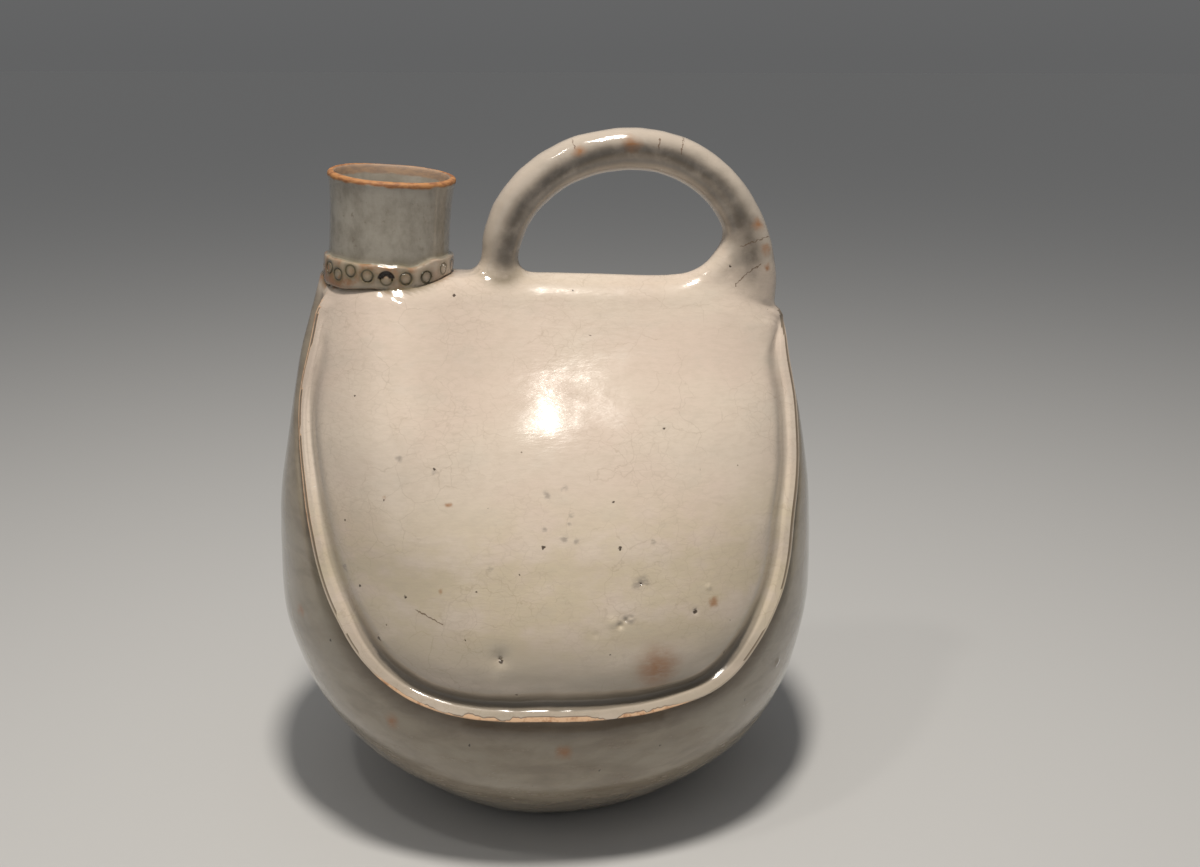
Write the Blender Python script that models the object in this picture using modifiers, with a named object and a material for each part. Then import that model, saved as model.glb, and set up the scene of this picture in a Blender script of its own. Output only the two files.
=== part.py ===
# Cockscomb flask: a glazed stoneware flask shaped like a sewn leather bag.
# One fired piece: a round hollow belly pinched to a ridge, a short neck with a stamped collar,
# a looped handle on the ridge, and a seam in relief round the front and the back panel.
# Metres, +Z up. The origin is the middle of the foot. The neck is toward -X, the front toward -Y.

import math

import bmesh
import bpy
import numpy as np
from mathutils import Matrix, Vector

# Driving sizes of the body
BODY_HEIGHT = 0.2215      # foot to the top of the pinched ridge
BODY_WIDTH = 0.229        # widest, neck side to handle side
BODY_DEPTH = 0.197        # widest, front to back
WALL = 0.0052
FLOOR_THICKNESS = 0.007
RIDGE_ROUNDING = 0.009    # height over which the pinched top rounds over
RIDGE_SLOPE = math.radians(-2.0)  # the ridge falls a little toward the handle root
RIDGE_REACH = 0.82        # share of the height above which the body follows the ridge's rise
MIDDLE_SHARE = 0.56       # height of the panel's middle, from which its rings spread

# Neck and its applied collar
NECK_RADIUS = 0.0240
NECK_WALL = 0.0042
NECK_SET_IN = 0.0523      # from the widest point of the neck side in to the neck's axis
NECK_HEIGHT = 0.0410      # rim above the ridge
NECK_SUNK = 0.0120        # foot of the neck below the ridge, inside the shoulder
NECK_LEAN = math.radians(4.5)
NECK_FOOT = 0.84          # the hidden foot narrows to this share of the neck's radius
RIM_FLARE = 0.0012
RIM_LIP = 0.0026          # height of the flared lip
COLLAR_HEIGHT = 0.0105
COLLAR_PROUD = 0.0020
COLLAR_RISE = 0.0085      # upper edge of the collar above the ridge
SHOULDER_SWELL = 0.0215   # how far the shoulder under the neck stands out from the body
SHOULDER_SPREAD = 0.031   # how far it reaches along the ridge
SHOULDER_FOOT = 0.42      # share of the body's height where the swelling starts
SHOULDER_FULL = 0.88      # and where it is full
SHOULDER_DRAW_IN = 0.13   # share by which it draws in again up to the collar

# Stamped circles on the collar
STAMP_COUNT = 19
STAMP_TURN = math.radians(9.5)    # turns the row so that a circle stands as it does in front
STAMP_RADIUS = 0.0021
STAMP_LINE = 0.00060      # half width of the stamped line
STAMP_DEPTH = 0.00045

# Loop handle
HANDLE_SET_IN = 0.0290    # from the widest point of the handle side in to the right root
HANDLE_SPAN = 0.104       # between the centre lines of the two roots
HANDLE_HEIGHT = 0.0585    # top of the loop above the ridge
HANDLE_STRAIGHT = 0.0050  # height above the ridge at which the loop starts to curve
HANDLE_SUNK = 0.0120      # roots below the ridge, inside the body
HANDLE_RADIUS_LEFT = 0.0078
HANDLE_RADIUS_RIGHT = 0.0092
ROOT_LIFT = 0.006         # how far the ridge sweeps up into the handle's right root
ROOT_SWEEP = 0.030        # length of that sweep

# Hollow inside
CAVITY_MIDDLE = 0.48      # share of the body's height from which the hollow spreads
CAVITY_TOP_INSET = 1.3    # thickness at the ridge, in walls
CAVITY_SHOULDER = 0.80    # share of the shoulder's swelling that the hollow follows
BORE_FOOT = 0.86          # share of the body's height down to which the neck's bore runs
BORE_TAPER = 0.94         # and where it starts to narrow

# Seam in relief
SEAM_HEIGHT = 0.0034      # lip above the panel
SEAM_WIDTH = 0.0110       # hollow and lip, across the seam
SEAM_STEP = 0.0012        # drop from the panel to the gusset behind the lip
SEAM_END = math.radians(7)        # turn over which its two upper ends fade out

# Sections of the body, as shares of its height, half width and half depth:
# height, reach toward the neck, reach toward the handle, depth, squareness of the section
SECTIONS = (
    (-0.10, 0.000, 0.000, 0.000, 2.1),
    (0.000, 0.435, 0.485, 0.550, 2.1),
    (0.068, 0.615, 0.695, 0.745, 2.1),
    (0.158, 0.805, 0.873, 0.913, 2.1),
    (0.271, 0.934, 0.964, 0.980, 2.1),
    (0.406, 0.995, 1.005, 1.000, 2.1),
    (0.564, 0.985, 0.992, 0.870, 2.2),
    (0.722, 0.935, 0.953, 0.600, 2.4),
    (0.858, 0.880, 0.892, 0.292, 2.7),
    (0.926, 0.834, 0.847, 0.172, 2.9),
    (0.968, 0.808, 0.816, 0.110, 3.1),
    (1.000, 0.790, 0.786, 0.078, 3.2),
)

# Seam of a panel seen from the front, as shares of the body's half width and height.
# It runs from the neck side down, round the bottom and up to the handle side.
SEAM_POINTS = (
    (-0.745, 0.984), (-0.836, 0.860), (-0.862, 0.772), (-0.828, 0.630), (-0.757, 0.494),
    (-0.618, 0.386), (-0.384, 0.328), (-0.050, 0.314), (0.236, 0.315), (0.480, 0.332),
    (0.672, 0.396), (0.795, 0.490), (0.840, 0.594), (0.880, 0.690), (0.886, 0.777),
    (0.862, 0.925),
)
# Where the seam is not raised, its line runs on below the ridge
SEAM_ACROSS_TOP = ((0.500, 0.976), (0.000, 0.982), (-0.400, 0.982))

# Fineness of the faceted solid
MERIDIAN_SAMPLES = 48
SPOKES = 72
PANEL_RINGS = 8
PANEL_CROWDING = 0.75     # below 1 the panel's rings stand closer toward the seam
GUSSET_RINGS = 7
NECK_SIDES = 2 * STAMP_COUNT
HANDLE_SIDES = 12
HANDLE_STEPS = 26
CAVITY_SPOKES = 28
CAVITY_RINGS = 16

HALF_WIDTH = BODY_WIDTH / 2
HALF_DEPTH = BODY_DEPTH / 2
NECK_X = NECK_SET_IN - HALF_WIDTH
NECK_TOP = BODY_HEIGHT + NECK_HEIGHT
COLLAR_TOP = BODY_HEIGHT + COLLAR_RISE
HANDLE_RIGHT = HALF_WIDTH - HANDLE_SET_IN
HANDLE_LEFT = HANDLE_RIGHT - HANDLE_SPAN
MIDDLE = np.array([0.0, 0.0, MIDDLE_SHARE * BODY_HEIGHT])


# Interpolation

def smooth_curve(knots, values, at):
    """Cubic curve through the values, with slopes that never overshoot them."""
    knots, values, at = (np.asarray(list, dtype=float) for list in (knots, values, at))
    gaps = np.diff(knots)
    slopes = np.diff(values) / gaps
    tangent = np.zeros_like(values)
    same_way = slopes[:-1] * slopes[1:] > 0
    first = 2 * gaps[1:] + gaps[:-1]
    second = gaps[1:] + 2 * gaps[:-1]
    safe_left = np.where(same_way, slopes[:-1], 1.0)
    safe_right = np.where(same_way, slopes[1:], 1.0)
    mean = (first + second) / (first / safe_left + second / safe_right)
    tangent[1:-1] = np.where(same_way, mean, 0.0)
    tangent[0] = slopes[0]
    tangent[-1] = slopes[-1]
    at = np.clip(at, knots[0], knots[-1])
    k = np.clip(np.searchsorted(knots, at, side="right") - 1, 0, len(gaps) - 1)
    gap = gaps[k]
    t = (at - knots[k]) / gap
    return (values[k] * (1 + 2 * t) * (1 - t) ** 2 + gap * tangent[k] * t * (1 - t) ** 2
            + values[k + 1] * t * t * (3 - 2 * t) + gap * tangent[k + 1] * t * t * (t - 1))


def fade(value, start, end):
    """0 before start, 1 past end, smooth between them."""
    t = np.clip((value - start) / (end - start), 0.0, 1.0)
    return t * t * (3 - 2 * t)


# Form of the body, as the half thickness in Y over each point of the XZ plane

def ridge_lift(x, height):
    """How far the body is drawn up at x: the ridge slopes, and sweeps up into the handle root."""
    root = HANDLE_RIGHT - 0.5 * HANDLE_RADIUS_RIGHT
    sweep = ROOT_LIFT * fade(x, root - ROOT_SWEEP, root)
    upper = fade(height, RIDGE_REACH * BODY_HEIGHT, BODY_HEIGHT)
    return (sweep + math.tan(RIDGE_SLOPE) * x) * upper


def shoulder(x, level):
    """How far the shoulder that carries the neck stands out from the body, on either side."""
    grown = fade(level, SHOULDER_FOOT * BODY_HEIGHT, SHOULDER_FULL * BODY_HEIGHT)
    drawn_in = SHOULDER_DRAW_IN * fade(level, SHOULDER_FULL * BODY_HEIGHT, BODY_HEIGHT)
    return SHOULDER_SWELL * np.exp(-((x - NECK_X) / SHOULDER_SPREAD) ** 2) * (grown - drawn_in)


def half_thickness(x, z, inset=0.0):
    """Half thickness in Y of the body at (x, z), 0 outside it. inset draws the skin inward."""
    x, z = np.asarray(x, dtype=float), np.asarray(z, dtype=float)
    level = z - ridge_lift(x, z)
    table = np.array(SECTIONS)
    share = level / BODY_HEIGHT
    left = smooth_curve(table[:, 0], table[:, 1], share) * HALF_WIDTH
    right = smooth_curve(table[:, 0], table[:, 2], share) * HALF_WIDTH
    depth = smooth_curve(table[:, 0], table[:, 3], share) * HALF_DEPTH - inset
    power = smooth_curve(table[:, 0], table[:, 4], share)
    reach = np.maximum(np.where(x < 0, left, right) - inset, 1e-6)
    top = BODY_HEIGHT - CAVITY_TOP_INSET * inset
    into_cap = np.clip((level - top + RIDGE_ROUNDING) / RIDGE_ROUNDING, 0.0, 1.0)
    depth = np.maximum(depth, 0.0) * np.sqrt(1 - into_cap ** 2)
    side = np.clip(1 - (np.abs(x) / reach) ** power, 0.0, 1.0)
    body = depth * side ** (1 / power)
    followed = CAVITY_SHOULDER if inset > 0 else 1.0
    end = np.sqrt(np.clip(1 - (np.abs(x) / reach) ** 10, 0.0, 1.0))
    return body + followed * shoulder(x, level) * np.sqrt(1 - into_cap ** 10) * end


def meet_surface(start, direction, inset=0.0):
    """Where each ray from inside the body leaves it, found by halving."""
    near = np.zeros(direction.shape[:-1])
    far = np.full(direction.shape[:-1], BODY_WIDTH + BODY_HEIGHT)
    for _ in range(34):
        half = (near + far) / 2
        point = start + direction * half[..., None]
        outside = np.abs(point[..., 1]) > half_thickness(point[..., 0], point[..., 2], inset) - 1e-7
        far = np.where(outside, half, far)
        near = np.where(outside, near, half)
    return start + direction * near[..., None]


def seam_distance(angle):
    """Distance of the seam from the middle, seen from the front, at each angle from +X."""
    loop = SEAM_POINTS + SEAM_ACROSS_TOP
    x = np.array([p[0] for p in loop]) * HALF_WIDTH - MIDDLE[0]
    z = np.array([p[1] for p in loop]) * BODY_HEIGHT - MIDDLE[2]
    order = np.argsort(np.arctan2(z, x))
    turn = np.arctan2(z, x)[order]
    out = np.hypot(x, z)[order]
    turn = np.concatenate([turn - 2 * math.pi, turn, turn + 2 * math.pi])
    wrapped = (angle + math.pi) % (2 * math.pi) - math.pi
    return smooth_curve(turn, np.tile(out, 3), wrapped)


def seam_strength(angle):
    """1 along the raised seam, fading to 0 at its two upper ends."""
    left, right = SEAM_POINTS[0], SEAM_POINTS[-1]
    left_end = math.atan2(left[1] * BODY_HEIGHT - MIDDLE[2], left[0] * HALF_WIDTH)
    right_end = math.atan2(right[1] * BODY_HEIGHT - MIDDLE[2], right[0] * HALF_WIDTH)
    wrapped = (angle + math.pi / 2) % (2 * math.pi) - math.pi / 2
    return np.maximum(1 - fade(wrapped, right_end - SEAM_END, right_end),
                      fade(wrapped, left_end, left_end + SEAM_END))


def meridian(angle):
    """The skin from the middle of the front panel out to the seam, and on to the side, at one angle."""
    outward = np.array([math.cos(angle), 0.0, math.sin(angle)])
    seam = float(seam_distance(np.array([angle]))[0])
    steps = np.linspace(0, 1, MERIDIAN_SAMPLES)[:, None] * seam
    panel = MIDDLE + outward * steps
    panel[:, 1] = -half_thickness(panel[:, 0], panel[:, 2])
    depth = -panel[-1, 1]
    hinge = MIDDLE + outward * max(seam - depth, 0.0)
    lean = math.atan2(depth, seam - max(seam - depth, 0.0))
    turns = np.linspace(lean, 0, MERIDIAN_SAMPLES)[1:, None]
    rays = np.cos(turns) * outward + np.sin(turns) * np.array([0.0, -1.0, 0.0])
    gusset = meet_surface(hinge, rays)
    return panel, np.vstack([panel[-1:], gusset])


def along(points, distances):
    """Points at the given distances along a line of points."""
    lengths = np.concatenate([[0], np.cumsum(np.linalg.norm(np.diff(points, axis=0), axis=1))])
    return np.stack([np.interp(distances, lengths, points[:, k]) for k in range(3)], axis=1), lengths[-1]


# Profile across the seam: distance from its lip, toward the panel first, as shares of the
# seam's width, and height off the skin in metres
def seam_profile():
    panel_side = ((-1.0, 0.0), (-0.62, -0.0010), (-0.30, 0.0002), (0.0, SEAM_HEIGHT))
    gusset_side = ((0.11, SEAM_HEIGHT * 0.80), (0.16, -SEAM_STEP), (0.75, 0.0))
    return panel_side, gusset_side


def body_rings():
    """Rings of points from the middle of the front panel to the flask's side."""
    panel_side, gusset_side = seam_profile()
    angles = np.arange(SPOKES) * 2 * math.pi / SPOKES
    columns, heights = [], []
    for angle in angles:
        panel, gusset = meridian(angle)
        _, panel_length = along(panel, [0])
        _, gusset_length = along(gusset, [0])
        inner_end = panel_length - SEAM_WIDTH
        distances = [inner_end * ((k + 1) / PANEL_RINGS) ** PANEL_CROWDING for k in range(PANEL_RINGS)]
        distances += [panel_length + share * SEAM_WIDTH for share, _ in panel_side[1:]]
        first, _ = along(panel, distances)
        room = min(1.0, 0.8 * gusset_length / (gusset_side[-1][0] * SEAM_WIDTH))
        distances = [share * SEAM_WIDTH * room for share, _ in gusset_side]
        left = gusset_length - distances[-1]
        distances += [distances[-1] + left * (k + 1) / GUSSET_RINGS for k in range(GUSSET_RINGS)]
        second, _ = along(gusset, distances)
        columns.append(np.vstack([first, second]))
        offsets = [0.0] * PANEL_RINGS + [h for _, h in panel_side[1:]]
        offsets += [h for _, h in gusset_side] + [0.0] * GUSSET_RINGS
        heights.append(np.array(offsets) * float(seam_strength(np.array([angle]))[0]))
    points = np.array(columns)
    offsets = np.array(heights)
    across = np.gradient(points, axis=1)
    around = np.roll(points, -1, axis=0) - np.roll(points, 1, axis=0)
    normal = np.cross(across, around)
    normal /= np.maximum(np.linalg.norm(normal, axis=2, keepdims=True), 1e-12)
    points = points + normal * offsets[..., None]
    points[:, -1, 1] = 0.0
    return points


# Mesh helpers

def new_object(name, mesh, collection):
    thing = bpy.data.objects.new(name, mesh)
    collection.objects.link(thing)
    return thing


def mesh_from_bmesh(name, shape):
    bmesh.ops.recalc_face_normals(shape, faces=shape.faces)
    mesh = bpy.data.meshes.new(name)
    shape.to_mesh(mesh)
    shape.free()
    return mesh


def body_mesh():
    """Closed skin: the front half from its rings, mirrored in Y for the back."""
    rings = body_rings()
    shape = bmesh.new()
    front_pole = shape.verts.new((MIDDLE[0], -float(half_thickness(MIDDLE[0], MIDDLE[2])), MIDDLE[2]))
    back_pole = shape.verts.new((MIDDLE[0], float(half_thickness(MIDDLE[0], MIDDLE[2])), MIDDLE[2]))
    last = rings.shape[1] - 1
    front = [[shape.verts.new(rings[s, r]) for s in range(SPOKES)] for r in range(last + 1)]
    flip = np.array([1.0, -1.0, 1.0])
    back = [[shape.verts.new(rings[s, r] * flip) for s in range(SPOKES)] for r in range(last)]
    order = front + back[::-1]
    for s in range(SPOKES):
        t = (s + 1) % SPOKES
        shape.faces.new((front_pole, order[0][t], order[0][s]))
        shape.faces.new((back_pole, order[-1][s], order[-1][t]))
        for inner, outer in zip(order[:-1], order[1:]):
            shape.faces.new((inner[s], inner[t], outer[t], outer[s]))
    return mesh_from_bmesh("body skin", shape)


def cavity_mesh():
    """The hollow inside, set in from the skin by the wall."""
    shape = bmesh.new()
    bmesh.ops.create_uvsphere(shape, u_segments=CAVITY_SPOKES, v_segments=CAVITY_RINGS, radius=1.0,
                              matrix=Matrix.Rotation(math.pi / 2, 4, "X"))
    start = np.array([0.0, 0.0, CAVITY_MIDDLE * BODY_HEIGHT])
    rays = np.array([vertex.co for vertex in shape.verts])
    hit = meet_surface(start, rays, inset=WALL)
    low = (start[2] - FLOOR_THICKNESS) / np.maximum(-rays[:, 2], 1e-9)
    length = np.linalg.norm(hit - start, axis=1)
    cut = np.where(rays[:, 2] < 0, np.minimum(length, low), length)
    for vertex, ray, reach in zip(shape.verts, rays, cut):
        vertex.co = Vector(start + ray * reach)
    return mesh_from_bmesh("cavity", shape)


def neck_frame():
    """Places a shape made on the Z axis, with z = 0 at the rim's middle, on the leaning neck."""
    lean_out = math.tan(NECK_LEAN) * NECK_HEIGHT / 2
    middle = Vector((NECK_X + lean_out, 0.0, NECK_TOP))
    return Matrix.Translation(middle) @ Matrix.Rotation(NECK_LEAN, 4, "Y")


def turned(name, profile, collection, turn):
    """Solid of revolution on the neck's axis from (radius, z) pairs that start and end on it."""
    mesh = bpy.data.meshes.new(name)
    mesh.from_pydata([(r, 0.0, z) for r, z in profile], [(k, k + 1) for k in range(len(profile) - 1)], [])
    thing = new_object(name, mesh, collection)
    screw = thing.modifiers.new("Turn", "SCREW")
    screw.axis = "Z"
    screw.steps = NECK_SIDES
    screw.render_steps = NECK_SIDES
    screw.use_merge_vertices = True
    screw.merge_threshold = 0.00001
    evaluated = thing.evaluated_get(bpy.context.evaluated_depsgraph_get())
    solid = bpy.data.meshes.new_from_object(evaluated)
    bpy.data.objects.remove(thing)
    shape = bmesh.new()
    shape.from_mesh(solid)
    bmesh.ops.remove_doubles(shape, verts=shape.verts, dist=0.00001)
    shape.transform(neck_frame() @ Matrix.Rotation(turn, 4, "Z"))
    return new_object(name, mesh_from_bmesh(name, shape), collection)


def neck_and_collar(collection):
    """Neck with its rim, standing in the shoulder, and the collar round its foot."""
    sunk = -NECK_HEIGHT - NECK_SUNK
    band_top = COLLAR_TOP - NECK_TOP
    band_low = band_top - COLLAR_HEIGHT
    band = NECK_RADIUS + COLLAR_PROUD
    rim = NECK_RADIUS + RIM_FLARE
    edge = 0.3 * COLLAR_PROUD
    return turned("neck", (
        (0.0, 0.0), (rim - 0.4 * RIM_LIP, 0.0), (rim, -0.3 * RIM_LIP), (rim, -RIM_LIP),
        (NECK_RADIUS, 0.4 * band_top), (NECK_RADIUS, band_top), (band, band_top - edge),
        (band, band_low + edge), (NECK_RADIUS, band_low), (NECK_FOOT * NECK_RADIUS, sunk), (0.0, sunk)),
        collection, STAMP_TURN)


def neck_bore(collection):
    """The bore from above the rim down into the hollow, turned half a side from the outer faces."""
    half_side = math.pi / NECK_SIDES
    deep = BORE_FOOT * BODY_HEIGHT - NECK_TOP
    taper = BORE_TAPER * BODY_HEIGHT - NECK_TOP
    bore = NECK_RADIUS - NECK_WALL
    mouth = bore + RIM_FLARE + 0.15 * NECK_WALL
    return turned("neck bore", (
        (0.0, RIM_LIP), (mouth + 0.2 * NECK_WALL, RIM_LIP), (mouth, -0.3 * RIM_LIP),
        (bore, -0.35 * NECK_HEIGHT), (bore, taper), (0.8 * bore, deep), (0.0, deep)),
        collection, STAMP_TURN + half_side)


def stamp_ring(index, collection):
    """Ring-shaped cutter that presses one circle into the collar."""
    angle = 2 * math.pi * (index + 0.25) / STAMP_COUNT + STAMP_TURN
    radius = NECK_RADIUS + COLLAR_PROUD + STAMP_LINE - STAMP_DEPTH
    middle = COLLAR_TOP - NECK_TOP - COLLAR_HEIGHT / 2
    spot = Matrix.Rotation(angle, 4, "Z") @ Matrix.Translation((radius, 0.0, middle))
    bpy.ops.mesh.primitive_torus_add(
        major_segments=8, minor_segments=4, major_radius=STAMP_RADIUS, minor_radius=STAMP_LINE)
    ring = bpy.context.object
    ring.name = f"stamp {index}"
    ring.data.transform(neck_frame() @ spot @ Matrix.Rotation(math.pi / 2, 4, "Y"))
    for other in ring.users_collection:
        other.objects.unlink(ring)
    collection.objects.link(ring)
    return ring


def handle_path():
    """Centre line of the loop and its radius at each point, from the neck side over to the right."""
    radius_top = (HANDLE_RADIUS_LEFT + HANDLE_RADIUS_RIGHT) / 2
    spring = BODY_HEIGHT + HANDLE_STRAIGHT
    rise = HANDLE_HEIGHT - radius_top - HANDLE_STRAIGHT
    half = HANDLE_SPAN / 2
    middle = HANDLE_RIGHT - half
    sunk = HANDLE_STRAIGHT + HANDLE_SUNK
    path = [(HANDLE_LEFT, spring - depth, HANDLE_RADIUS_LEFT) for depth in (sunk, 0.5 * sunk)]
    for k in range(HANDLE_STEPS + 1):
        turn = math.pi * k / HANDLE_STEPS
        radius = HANDLE_RADIUS_LEFT + (HANDLE_RADIUS_RIGHT - HANDLE_RADIUS_LEFT) * k / HANDLE_STEPS
        path.append((middle - half * math.cos(turn), spring + rise * math.sin(turn), radius))
    path += [(HANDLE_RIGHT, spring - depth, HANDLE_RADIUS_RIGHT) for depth in (0.5 * sunk, sunk)]
    return path


def handle(collection):
    """Round rolled loop as a curve with a tapering bevel, made into a welded mesh."""
    path = handle_path()
    curve = bpy.data.curves.new("handle", "CURVE")
    curve.dimensions = "3D"
    curve.bevel_depth = 1.0
    curve.bevel_resolution = HANDLE_SIDES // 2 - 2
    curve.use_fill_caps = True
    curve.twist_mode = "Z_UP"
    line = curve.splines.new("POLY")
    line.points.add(len(path) - 1)
    for point, (x, z, radius) in zip(line.points, path):
        point.co = (x, 0.0, z, 1.0)
        point.radius = radius
    thing = new_object("handle", curve, collection)
    evaluated = thing.evaluated_get(bpy.context.evaluated_depsgraph_get())
    mesh = bpy.data.meshes.new_from_object(evaluated)
    bpy.data.objects.remove(thing)
    shape = bmesh.new()
    shape.from_mesh(mesh)
    bmesh.ops.remove_doubles(shape, verts=shape.verts, dist=0.00001)
    return new_object("handle", mesh_from_bmesh("handle", shape), collection)


def foot_cutter(collection):
    """Slab below z = 0 that cuts the flat foot."""
    shape = bmesh.new()
    deep = BODY_HEIGHT / 2
    slab = Matrix.Diagonal((3 * BODY_WIDTH, 3 * BODY_DEPTH, deep, 1.0))
    bmesh.ops.create_cube(shape, size=1.0, matrix=Matrix.Translation((0.0, 0.0, -deep / 2)) @ slab)
    return new_object("foot cutter", mesh_from_bmesh("foot cutter", shape), collection)


def glaze():
    material = bpy.data.materials.new("cream glaze")
    material.use_nodes = True
    shader = material.node_tree.nodes["Principled BSDF"]
    shader.inputs["Base Color"].default_value = (0.66, 0.58, 0.47, 1.0)
    shader.inputs["Roughness"].default_value = 0.22
    shader.inputs["Metallic"].default_value = 0.0
    return material


def combine(thing, tool, operation):
    """Boolean modifier that is left on the flask. The tool stays behind as a hidden guide."""
    tool.hide_render = True
    tool.display_type = "WIRE"
    step = thing.modifiers.new(tool.name, "BOOLEAN")
    step.operation = operation
    step.solver = "EXACT"
    step.object = tool


def build():
    for old in list(bpy.data.objects):
        bpy.data.objects.remove(old)
    parts = bpy.data.collections.new("cockscomb flask")
    cutters = bpy.data.collections.new("cutters")
    bpy.context.scene.collection.children.link(parts)
    bpy.context.scene.collection.children.link(cutters)

    flask = new_object("flask", body_mesh(), parts)
    flask.data.materials.append(glaze())
    combine(flask, handle(cutters), "UNION")
    combine(flask, neck_and_collar(cutters), "UNION")
    combine(flask, new_object("cavity", cavity_mesh(), cutters), "DIFFERENCE")
    combine(flask, neck_bore(cutters), "DIFFERENCE")
    combine(flask, foot_cutter(cutters), "DIFFERENCE")
    for index in range(STAMP_COUNT):
        combine(flask, stamp_ring(index, cutters), "DIFFERENCE")
    flask.data.shade_smooth()
    flask.data.set_sharp_from_angle(angle=math.radians(40))


build()
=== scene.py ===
import math

import bmesh
import bpy
import numpy as np
from mathutils import Matrix, Vector, noise
from mathutils.kdtree import KDTree


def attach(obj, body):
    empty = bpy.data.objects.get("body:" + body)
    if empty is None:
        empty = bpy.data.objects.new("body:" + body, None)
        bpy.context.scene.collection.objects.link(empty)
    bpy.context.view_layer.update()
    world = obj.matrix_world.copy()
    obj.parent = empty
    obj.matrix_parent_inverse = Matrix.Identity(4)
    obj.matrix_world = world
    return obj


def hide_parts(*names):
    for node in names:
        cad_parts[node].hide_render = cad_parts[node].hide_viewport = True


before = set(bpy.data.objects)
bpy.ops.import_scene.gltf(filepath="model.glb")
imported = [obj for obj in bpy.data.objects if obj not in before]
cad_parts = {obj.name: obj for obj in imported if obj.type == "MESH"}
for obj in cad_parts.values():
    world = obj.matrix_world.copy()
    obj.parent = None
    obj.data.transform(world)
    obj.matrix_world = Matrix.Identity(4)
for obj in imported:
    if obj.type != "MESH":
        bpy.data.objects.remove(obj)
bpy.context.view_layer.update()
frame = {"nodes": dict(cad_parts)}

print("frame loaded:", ", ".join(frame["nodes"]))


def newObject(name, data):
    thing = bpy.data.objects.new(name, data)
    bpy.context.scene.collection.objects.link(thing)
    return thing


def meshObject(name, points, faces=(), edges=()):
    mesh = bpy.data.meshes.new(name)
    mesh.from_pydata([tuple(point) for point in points], edges, faces)
    return newObject(name, mesh)


def shapeObject(name, shape):
    mesh = bpy.data.meshes.new(name)
    shape.to_mesh(mesh)
    shape.free()
    return newObject(name, mesh)


def turnOutward(mesh, weld=0.0):   # merges points closer than weld and points the faces outwards
    shape = bmesh.new()
    shape.from_mesh(mesh)
    if weld:
        bmesh.ops.remove_doubles(shape, verts=shape.verts, dist=weld)
    bmesh.ops.recalc_face_normals(shape, faces=shape.faces)
    shape.to_mesh(mesh)
    shape.free()


def addAttribute(mesh, name, values):
    slot = mesh.attributes.new(name, "FLOAT", "POINT")
    slot.data.foreach_set("value", values.astype(np.float32))


def addNode(tree, kind, sockets=None, **settings):   # sockets are filled with numbers, colours or links
    made = tree.nodes.new(kind)
    for name, value in settings.items():
        setattr(made, name, value)
    for name, value in (sockets or {}).items():
        if isinstance(value, bpy.types.NodeSocket):
            tree.links.new(value, made.inputs[name])
        else:
            made.inputs[name].default_value = value
    return made


# Camera: where the photograph was taken from, in the flask's own frame
view = {
    "place": (-0.02605, -0.51327, 0.30889),
    "yaw": 5.5,            # degrees, toward the handle side
    "pitch": 17.0,         # degrees down
    "roll": 0.2,
    "lens": 37.41,         # mm
    "sensor": 36.0,        # mm wide
    "nearest": 0.01,       # m, nothing closer is drawn
}


def placeCamera():
    yaw, pitch, roll = (math.radians(view[key]) for key in ("yaw", "pitch", "roll"))
    forward = Vector((math.sin(yaw) * math.cos(pitch), math.cos(yaw) * math.cos(pitch), -math.sin(pitch)))
    right = Vector((math.cos(yaw), -math.sin(yaw), 0.0))
    up = right.cross(forward)
    rolledRight = right * math.cos(roll) + up * math.sin(roll)
    rolledUp = up * math.cos(roll) - right * math.sin(roll)
    lens = bpy.data.cameras.new("photoCamera")
    lens.lens = view["lens"]
    lens.sensor_width = view["sensor"]
    lens.clip_start = view["nearest"]
    camera = newObject("photoCamera", lens)
    turn = Matrix((rolledRight, rolledUp, -forward)).transposed().to_4x4()
    camera.matrix_world = Matrix.Translation(view["place"]) @ turn
    bpy.context.scene.camera = camera


placeCamera()
print("camera placed")

# Body: the same form as the solid, drawn finer
body = {
    "height": 0.2215,
    "width": 0.229,
    "depth": 0.197,
    "wall": 0.0052,
    "floor": 0.007,
    "ridgeRounding": 0.009,
    "ridgeSlope": -0.035,
    "ridgeReach": 0.82,       # share of the height above which the body follows the ridge's rise
    "middleShare": 0.56,      # height of the panel's middle
    "rootLift": 0.006,        # sweep of the ridge up into the handle's right root
    "rootSweep": 0.030,
    "spokes": 320,            # round the panel
    "strides": ((3, 8), (8, 4), (15, 2)),   # rings before this one have only every 8th, 4th or 2nd spoke
    "samples": 72,
    "panelRings": 34,
    "gussetRings": 30,
    "sections": (             # height, reach left, reach right, depth, squareness
        (-0.10, 0.000, 0.000, 0.000, 2.1),
        (0.000, 0.435, 0.485, 0.550, 2.1),
        (0.068, 0.615, 0.695, 0.745, 2.1),
        (0.158, 0.805, 0.873, 0.913, 2.1),
        (0.271, 0.934, 0.964, 0.980, 2.1),
        (0.406, 0.995, 1.005, 1.000, 2.1),
        (0.564, 0.985, 0.992, 0.870, 2.2),
        (0.722, 0.935, 0.953, 0.600, 2.4),
        (0.858, 0.880, 0.892, 0.292, 2.7),
        (0.926, 0.834, 0.847, 0.172, 2.9),
        (0.968, 0.808, 0.816, 0.110, 3.1),
        (1.000, 0.790, 0.786, 0.078, 3.2),
    ),
}
halfWidth = body["width"] / 2
halfDepth = body["depth"] / 2
middle = np.array([0.0, 0.0, body["middleShare"] * body["height"]])

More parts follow.
